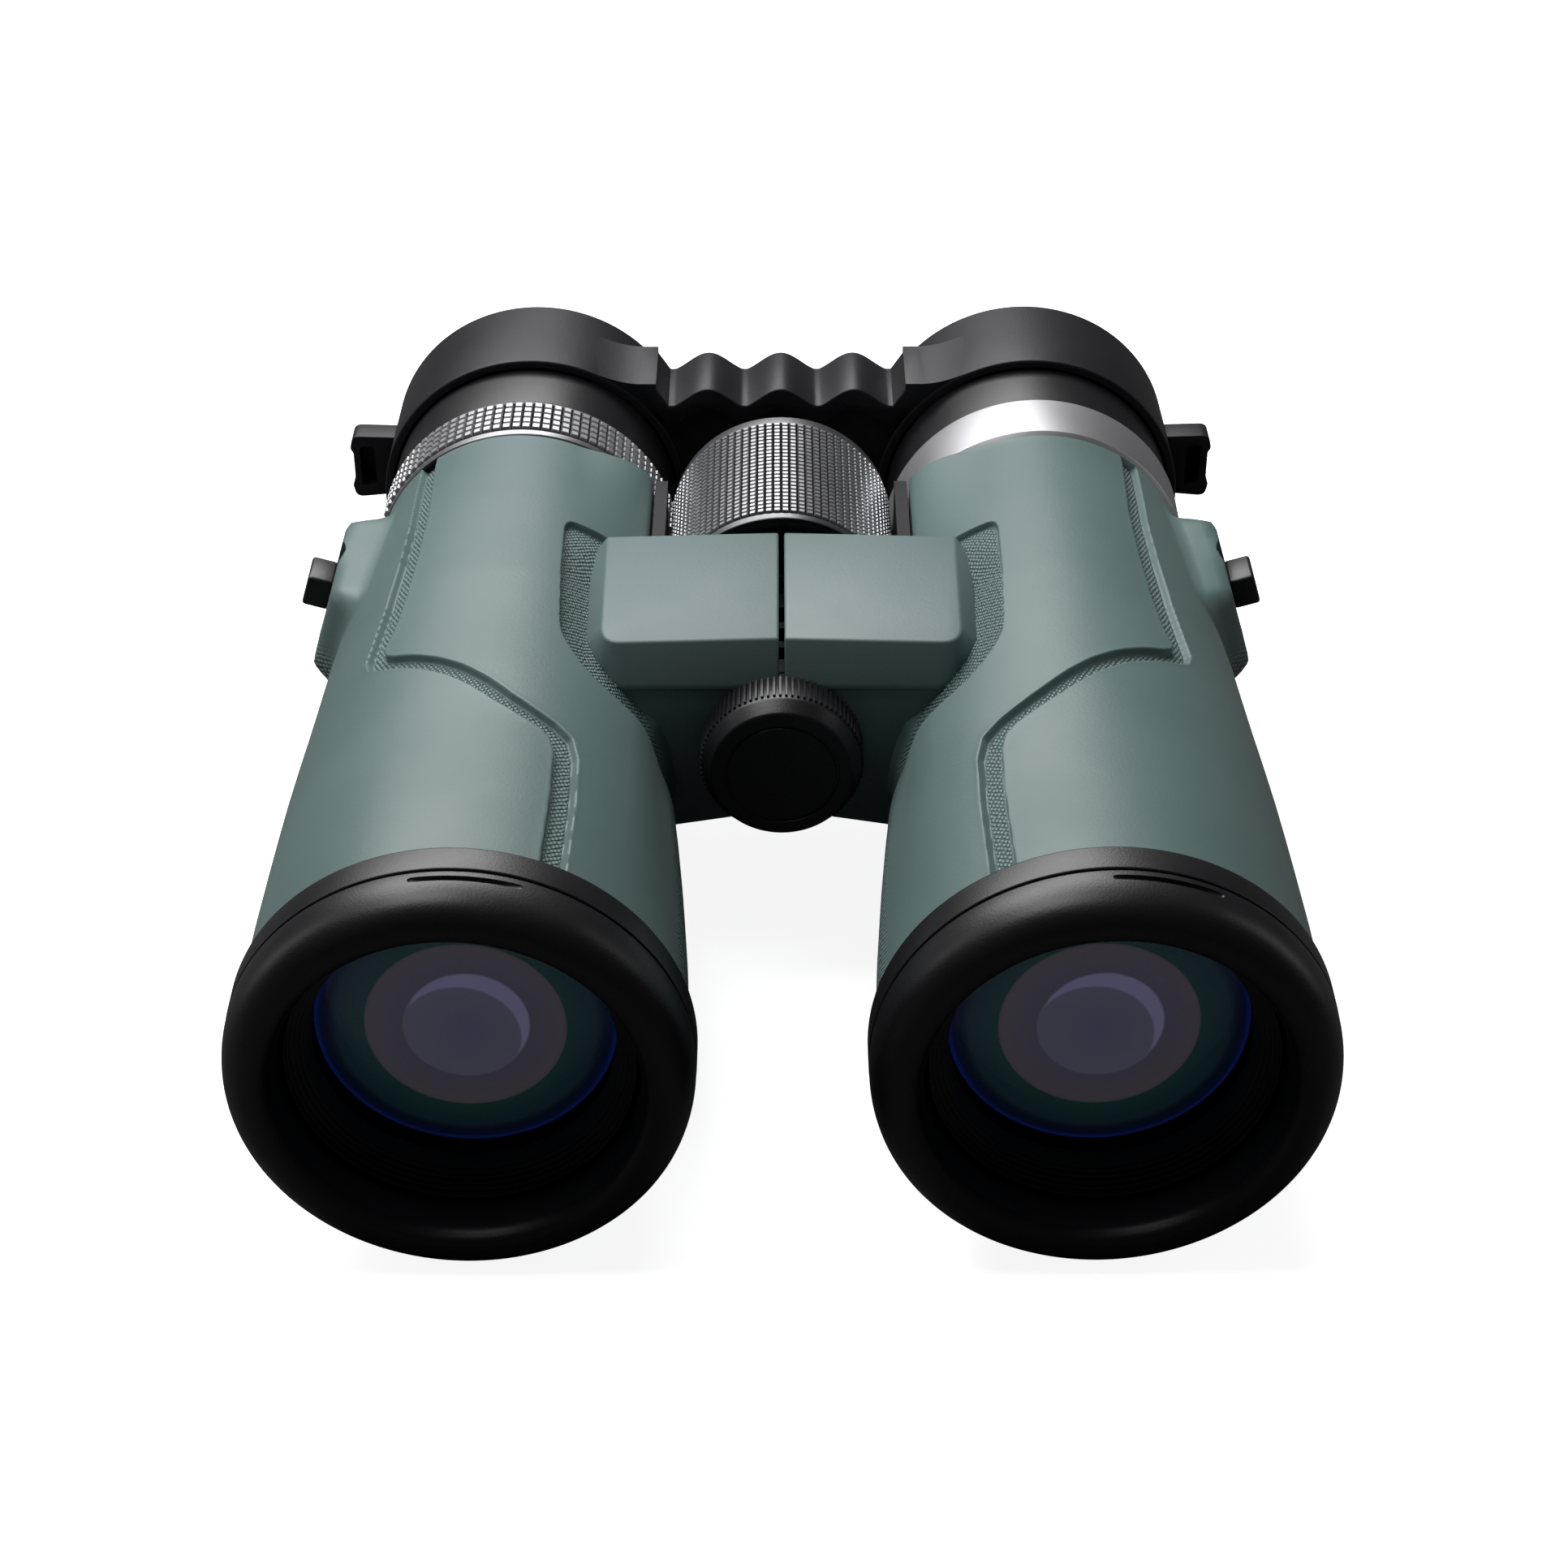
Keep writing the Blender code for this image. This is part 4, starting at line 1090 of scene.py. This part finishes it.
def makeEyepiece(name):
    centre, body = axes[name], name + "_barrel"
    turnedPiece(name + "EyepieceHousing", eyepiece["housing"], centre, blackPlastic,
                body, [name + "_eyepiece_housing"], 160)
    lens = eyepiece["lens"]
    front, rear, edge = lens["front"], lens["rear"], lens["radius"]
    curve = [(rear + lens["bulge"] * (1 - (r / edge) ** 2), r)
             for r in np.linspace(edge - 0.1, 0, lens["steps"])]
    turnedPiece(name + "EyepieceLens", [(front, 0.0), (front, edge), (rear, edge)] + curve,
                centre, eyeGlass[name], body, [name + "_eyepiece_lens"], 96)
    turnedPiece(name + "EyecupGuide", eyepiece["guide"], centre, blackPlastic,
                name + "_cup_lift", [name + "_eyecup_guide"], 96)
    turnedPiece(name + "EyecupSleeve", eyepiece["sleeve"], centre, blackPlastic,
                name + "_cup", [name + "_eyecup_sleeve"], 96)
    cup = list(eyepiece["cup"])
    crest, valley, soft = eyepiece["ribCrest"], eyepiece["ribValley"], eyepiece["ribSoft"]
    for i in range(eyepiece["ribs"]):
        s = eyepiece["firstRib"] + i * eyepiece["ribPitch"]
        cup += [(s, crest, soft), (s + 0.25, valley, soft), (s + 0.6, valley, soft),
                (s + 0.85, crest, soft)]
    cup += eyepiece["cupRim"]
    turnedPiece(name + "Eyecup", cup, centre, blackRubber, name + "_cup",
                [name + "_eyecup"], 128)


eyeGlass = {n: coatedGlass(n + "EyeCoating", axes[n],
                           [(0, (0.03, 0.05, 0.06)), (9, (0.02, 0.06, 0.05)),
                            (12.5, (0.01, 0.01, 0.02))], 1.0, 0.04, 0.4) for n in sides}
for barrel in sides:
    makeEyepiece(barrel)
print("eyepieces made")


guard = {
    "cup": [(129.2, 20.7), (129.2, 21.8, 0.35), (138.0, 21.75), (147.3, 21.62, 0.3),
            (148.0, 21.3, 0.3), (149.0, 20.5, 0.3), (149.5, 19.2, 0.4), (149.5, 15.0, 0.4),
            (149.1, 14.2, 0.4), (149.1, 0.0), (147.8, 0.0), (147.8, 20.3, 0.3),
            (146.9, 20.65, 0.2)],
    "web": {"span": (129.3, 141.4), "pitch": 10.4, "valley": 14.5, "ridge": 17.25, "thick": 3.2,
            "reach": 16.0, "edge": 17.7, "top": 18.1, "columns": 120,
            "shoulderSweep": (20.0, 22.7, 26.6, 19.86),  # start, pull and end in x, end in z
            "shoulderFoot": [(26.9, 17.2), (20.6, 12.9), (18.4, 12.6), (17.7, 13.4)],
            "skirt": {"span": (130.1, 132.4), "low": -5.0, "high": 14.2, "cupRadius": 21.3}},
    "loop": {"span": (138.2, 142.2), "outer": (21.0, 27.7), "inner": (24.2, 26.4),
             "z": (-4.8, 5.2), "hole": (-3.0, 3.5)},
}


def webHeight(x):
    web = guard["web"]
    turn = math.cos(math.pi * x / web["pitch"])
    wave = web["valley"] + (web["ridge"] - web["valley"]) * (0.45 * abs(turn) + 0.55 * turn ** 2)
    return max(wave, web["valley"] + 0.14)


def makeGuardCup(name):
    side, centre = sides[name], axes[name]
    body = "rain_guard_" + name
    turnedPiece(name + "GuardCup", guard["cup"], centre, blackRubber, body,
                [name + "_guard"], 160)
    web = guard["web"]
    s0, s1 = web["span"]
    # shoulder that carries the bridge, running into the cup on a soft curve
    x0, pull, x1, z1 = web["shoulderSweep"]
    outline = [(web["edge"], web["top"]), (x0, web["top"])]
    for i in range(1, 9):
        t = i / 8
        x = x0 * (1 - t) ** 2 + pull * 2 * t * (1 - t) + x1 * t * t
        z = web["top"] * (1 - t * t) + z1 * t * t
        outline.append((x, z))
    outline += web["shoulderFoot"]
    bm = bmesh.new()
    drawnPrism(bm, [(side * x, z) for x, z in outline], s0, s1)
    softenEdges(bm, 0.3, 3, 30, lambda e: all(abs(v.co.x) < 20.5 * mm for v in e.verts))
    finishPiece(bm, name + "GuardShoulder", blackRubber, body, (), angle=40)
    # strap loop
    loop = guard["loop"]
    x0, x1 = loop["outer"]
    z0, z1 = loop["z"]
    base = abs(centre.x) / mm
    points = [(x0, z0 + 0.6), (x1 - 0.4, z0, 1.2), (x1, z0 + 1.6, 0.4), (x1 + 0.05, z0 + 2.2, 0.3),
              (x1 - 0.35, z0 + 2.7, 0.3), (x1 - 0.35, z1 - 2.7, 0.3), (x1 + 0.05, z1 - 2.2, 0.3),
              (x1, z1 - 1.6, 0.4), (x1 - 0.4, z1, 1.2), (x0, z1 - 0.2)]
    outline = [(side * (base + x), z) for x, z in softOutline(points, closed=True)]
    bm = bmesh.new()
    drawnPrism(bm, outline, *loop["span"])
    softenEdges(bm, 0.35, 3, 40)
    strapLoop = finishPiece(bm, name + "StrapLoop", blackRubber, body, (),
                            angle=40)
    hx0, hx1 = loop["inner"]
    hz0, hz1 = loop["hole"]
    bm = bmesh.new()
    hole = softOutline([(hx0, hz0, 0.6), (hx1, hz0, 0.6), (hx1, hz1, 0.6), (hx0, hz1, 0.6)], True)
    drawnPrism(bm, [(side * (base + x), z) for x, z in hole], 136, loop["span"][1] - 0.5)
    carve(strapLoop, looseMesh(bm, name + "LoopHole"))
    strapLoop.data.set_sharp_from_angle(angle=math.radians(40))


def makeGuardBridge():
    web = guard["web"]
    count = web["columns"]
    xs = [-web["reach"] + 2 * web["reach"] * i / count for i in range(count + 1)]
    upper = [(x, webHeight(x)) for x in xs]
    lower = [(x, webHeight(x) - web["thick"]) for x in reversed(xs)]
    edge = web["edge"] + 0.5
    outline = upper + [(edge, web["top"] - 0.1), (edge, 14.0)] + lower
    outline += [(-edge, 14.0), (-edge, web["top"] - 0.1)]
    bm = bmesh.new()
    ends = [web["span"][0] + 0.02, web["span"][1] - 0.02]
    drawnPrism(bm, outline, *ends)

    # dark wall that hangs from the bridge between the cups
    skirt = web["skirt"]
    reach = axes["right"].x / mm
    levels = [skirt["low"] + (skirt["high"] - skirt["low"]) * i / 14 for i in range(15)]
    wing = [(reach - math.sqrt(skirt["cupRadius"] ** 2 - z * z), z) for z in levels]
    drawnPrism(bm, wing + [(-x, z) for x, z in reversed(wing)], *skirt["span"])

    def onEnd(edge):
        return any(all(abs(v.co.y - at(0, s, 0).y) < 1e-6 for v in edge.verts) for s in ends)

    softenEdges(bm, 0.28, 3, 30, onEnd)
    piece = finishPiece(bm, "GuardBridge", blackRubber, None, (), angle=24)
    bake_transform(piece)


for barrel in sides:
    makeGuardCup(barrel)
makeGuardBridge()
print("rain guard made")


post = {"neck": (21.0, 26.2), "head": (25.4, 28.9), "long": (2.1, 2.9), "high": (1.5, 2.2)}


def makeStrapPost(name):
    side, centre = sides[name], axes[name]
    boss = armour["boss"]
    bm = bmesh.new()
    for span, halfLong, halfHigh in (
        (post["neck"], post["long"][0], post["high"][0]),
        (post["head"], post["long"][1], post["high"][1]),
    ):
        made = bmesh.ops.create_cube(bm, size=1.0)["verts"]
        bmesh.ops.scale(bm, verts=made, vec=((span[1] - span[0]) * mm, 2 * halfLong * mm,
                                             2 * halfHigh * mm))
        bmesh.ops.translate(bm, verts=made, vec=((span[0] + span[1]) / 2 * mm, 0, 0))
    softenEdges(bm, 0.45, 3, 60)
    bmesh.ops.rotate(bm, verts=bm.verts, cent=(0, 0, 0),
                     matrix=Matrix.Rotation(-math.radians(boss["lift"]), 3, "Y"))
    bmesh.ops.scale(bm, verts=bm.verts, vec=(side, 1, 1))
    bmesh.ops.translate(bm, verts=bm.verts,
                        vec=(centre.x, seam + boss["middle"] * mm, centre.z))
    finishPiece(bm, name + "StrapPost", blackPlastic, name + "_barrel",
                [name + "_strap_post"], angle=40)


for barrel in sides:
    makeStrapPost(barrel)
print("strap posts made")


# materials on the pieces that keep their shape; None is coated glass
keptMaterials = {
    "wheel_rail": railPlastic, "focus_cell": greyCasting, "focus_lens": None,
    "prism_mount": innerBlack, "roof_prism": None,
}
singleMaterials = {
    "tripod_socket_axle": innerBlack, "rear_axle_sleeve": innerBlack, "focus_spool": innerBlack,
    "tripod_cap_washer": blackRubber, "focus_screw": darkSteel, "thrust_washer": darkSteel,
    "diopter_cell": greyCasting, "diopter_lens": None,
}


def dress(node, material):
    slots = frame["nodes"][node].data.materials
    slots.clear()
    slots.append(material)


for barrel in sides:
    for ending, material in keptMaterials.items():
        dress(barrel + "_" + ending, material or eyeGlass[barrel])
for node, material in singleMaterials.items():
    dress(node, material or eyeGlass["left"])
print("kept pieces dressed")


studio = {
    "floor": (0.90, 0.90, 0.905),
    "glow": 1.0,
    "bounce": 0.10,
    "key": {"place": (-0.14, 0.40, 0.46), "size": (0.50, 0.34), "power": 3.7},
    "top": {"place": (-0.20, 0.02, 0.62), "size": (0.34, 0.34), "power": 1.7},
    "leftStrip": {"place": (-0.62, 0.10, 0.20), "size": (0.2, 0.6), "power": 0.45},
    "rightStrip": {"place": (0.62, 0.10, 0.20), "size": (0.2, 0.6), "power": 0.35},
    "world": 0.035,
    "aim": (0, 0, 0.03),
}


def makeFloor():
    bm = bmesh.new()
    bmesh.ops.create_grid(bm, x_segments=2, y_segments=2, size=3.0)
    mesh = bpy.data.meshes.new("Floor")
    bm.to_mesh(mesh)
    bm.free()
    floor = bpy.data.objects.new("Floor", mesh)
    bpy.context.scene.collection.objects.link(floor)
    material, nodes, links = startMaterial("paleFloor")
    place = nodes.new("ShaderNodeTexCoord")
    place.label = "where on the floor"
    grain = nodes.new("ShaderNodeTexNoise")
    grain.label = "paper grain"
    grain.inputs["Scale"].default_value = 400
    tint = nodes.new("ShaderNodeMapRange")
    tint.label = "almost even roughness"
    tint.inputs["To Min"].default_value = 0.85
    tint.inputs["To Max"].default_value = 0.95
    shader = nodes.new("ShaderNodeBsdfPrincipled")
    shader.label = "pale paper"
    shader.inputs["Specular IOR Level"].default_value = 0.1
    shader.inputs["Base Color"].default_value = (*studio["floor"], 1)
    shader.inputs["Emission Color"].default_value = (*studio["floor"], 1)
    shader.inputs["Emission Strength"].default_value = studio["glow"]
    dark = nodes.new("ShaderNodeBsdfDiffuse")
    dark.label = "what the object gets back from it"
    dark.inputs["Color"].default_value = (*[studio["bounce"]] * 3, 1)
    ray = nodes.new("ShaderNodeLightPath")
    ray.label = "seen straight on"
    either = nodes.new("ShaderNodeMixShader")
    either.label = "pale to look at, quiet as a light"
    out = nodes.new("ShaderNodeOutputMaterial")
    out.label = "surface"
    links.new(place.outputs["Object"], grain.inputs["Vector"])
    links.new(grain.outputs["Fac"], tint.inputs["Value"])
    links.new(tint.outputs["Result"], shader.inputs["Roughness"])
    links.new(ray.outputs["Is Camera Ray"], either.inputs["Fac"])
    links.new(dark.outputs["BSDF"], either.inputs[1])
    links.new(shader.outputs["BSDF"], either.inputs[2])
    links.new(either.outputs["Shader"], out.inputs["Surface"])
    layOut([[place], [grain], [tint], [ray, dark, shader], [either], [out]])
    frameUp(nodes, {"pale board": (grain, tint, shader), "dim in bounces": (ray, dark, either)})
    mesh.materials.append(material)


def makeLight(name, settings):
    light = bpy.data.lights.new(name, "AREA")
    light.shape = "RECTANGLE"
    light.size, light.size_y = settings["size"]
    light.energy = settings["power"]
    lamp = bpy.data.objects.new(name, light)
    lamp.location = settings["place"]
    aim = Vector(studio["aim"]) - lamp.location
    lamp.rotation_euler = aim.to_track_quat("-Z", "Y").to_euler()
    bpy.context.scene.collection.objects.link(lamp)


def makeWorld():
    world = bpy.data.worlds.new("Studio")
    world.use_nodes = True
    nodes = world.node_tree.nodes
    background = nodes["Background"]
    background.inputs["Color"].default_value = (1.0, 1.0, 1.0, 1)
    background.inputs["Strength"].default_value = studio["world"]
    bpy.context.scene.world = world


view = {"place": (-0.0005, -0.3356, 0.2410), "tilt": 56.0, "turn": -0.14, "lens": 70.6}


def makeCamera():
    data = bpy.data.cameras.new("Camera")
    data.sensor_width = 36.0
    data.lens = view["lens"]
    data.clip_start = 0.01
    camera = bpy.data.objects.new("Camera", data)
    camera.location = view["place"]
    camera.rotation_euler = (math.radians(view["tilt"]), 0, math.radians(view["turn"]))
    bpy.context.scene.collection.objects.link(camera)
    bpy.context.scene.camera = camera


makeFloor()
for lampName in ("key", "top", "leftStrip", "rightStrip"):
    makeLight(lampName, studio[lampName])
makeWorld()
makeCamera()
bpy.context.scene.view_settings.view_transform = "Standard"
print("stage made")
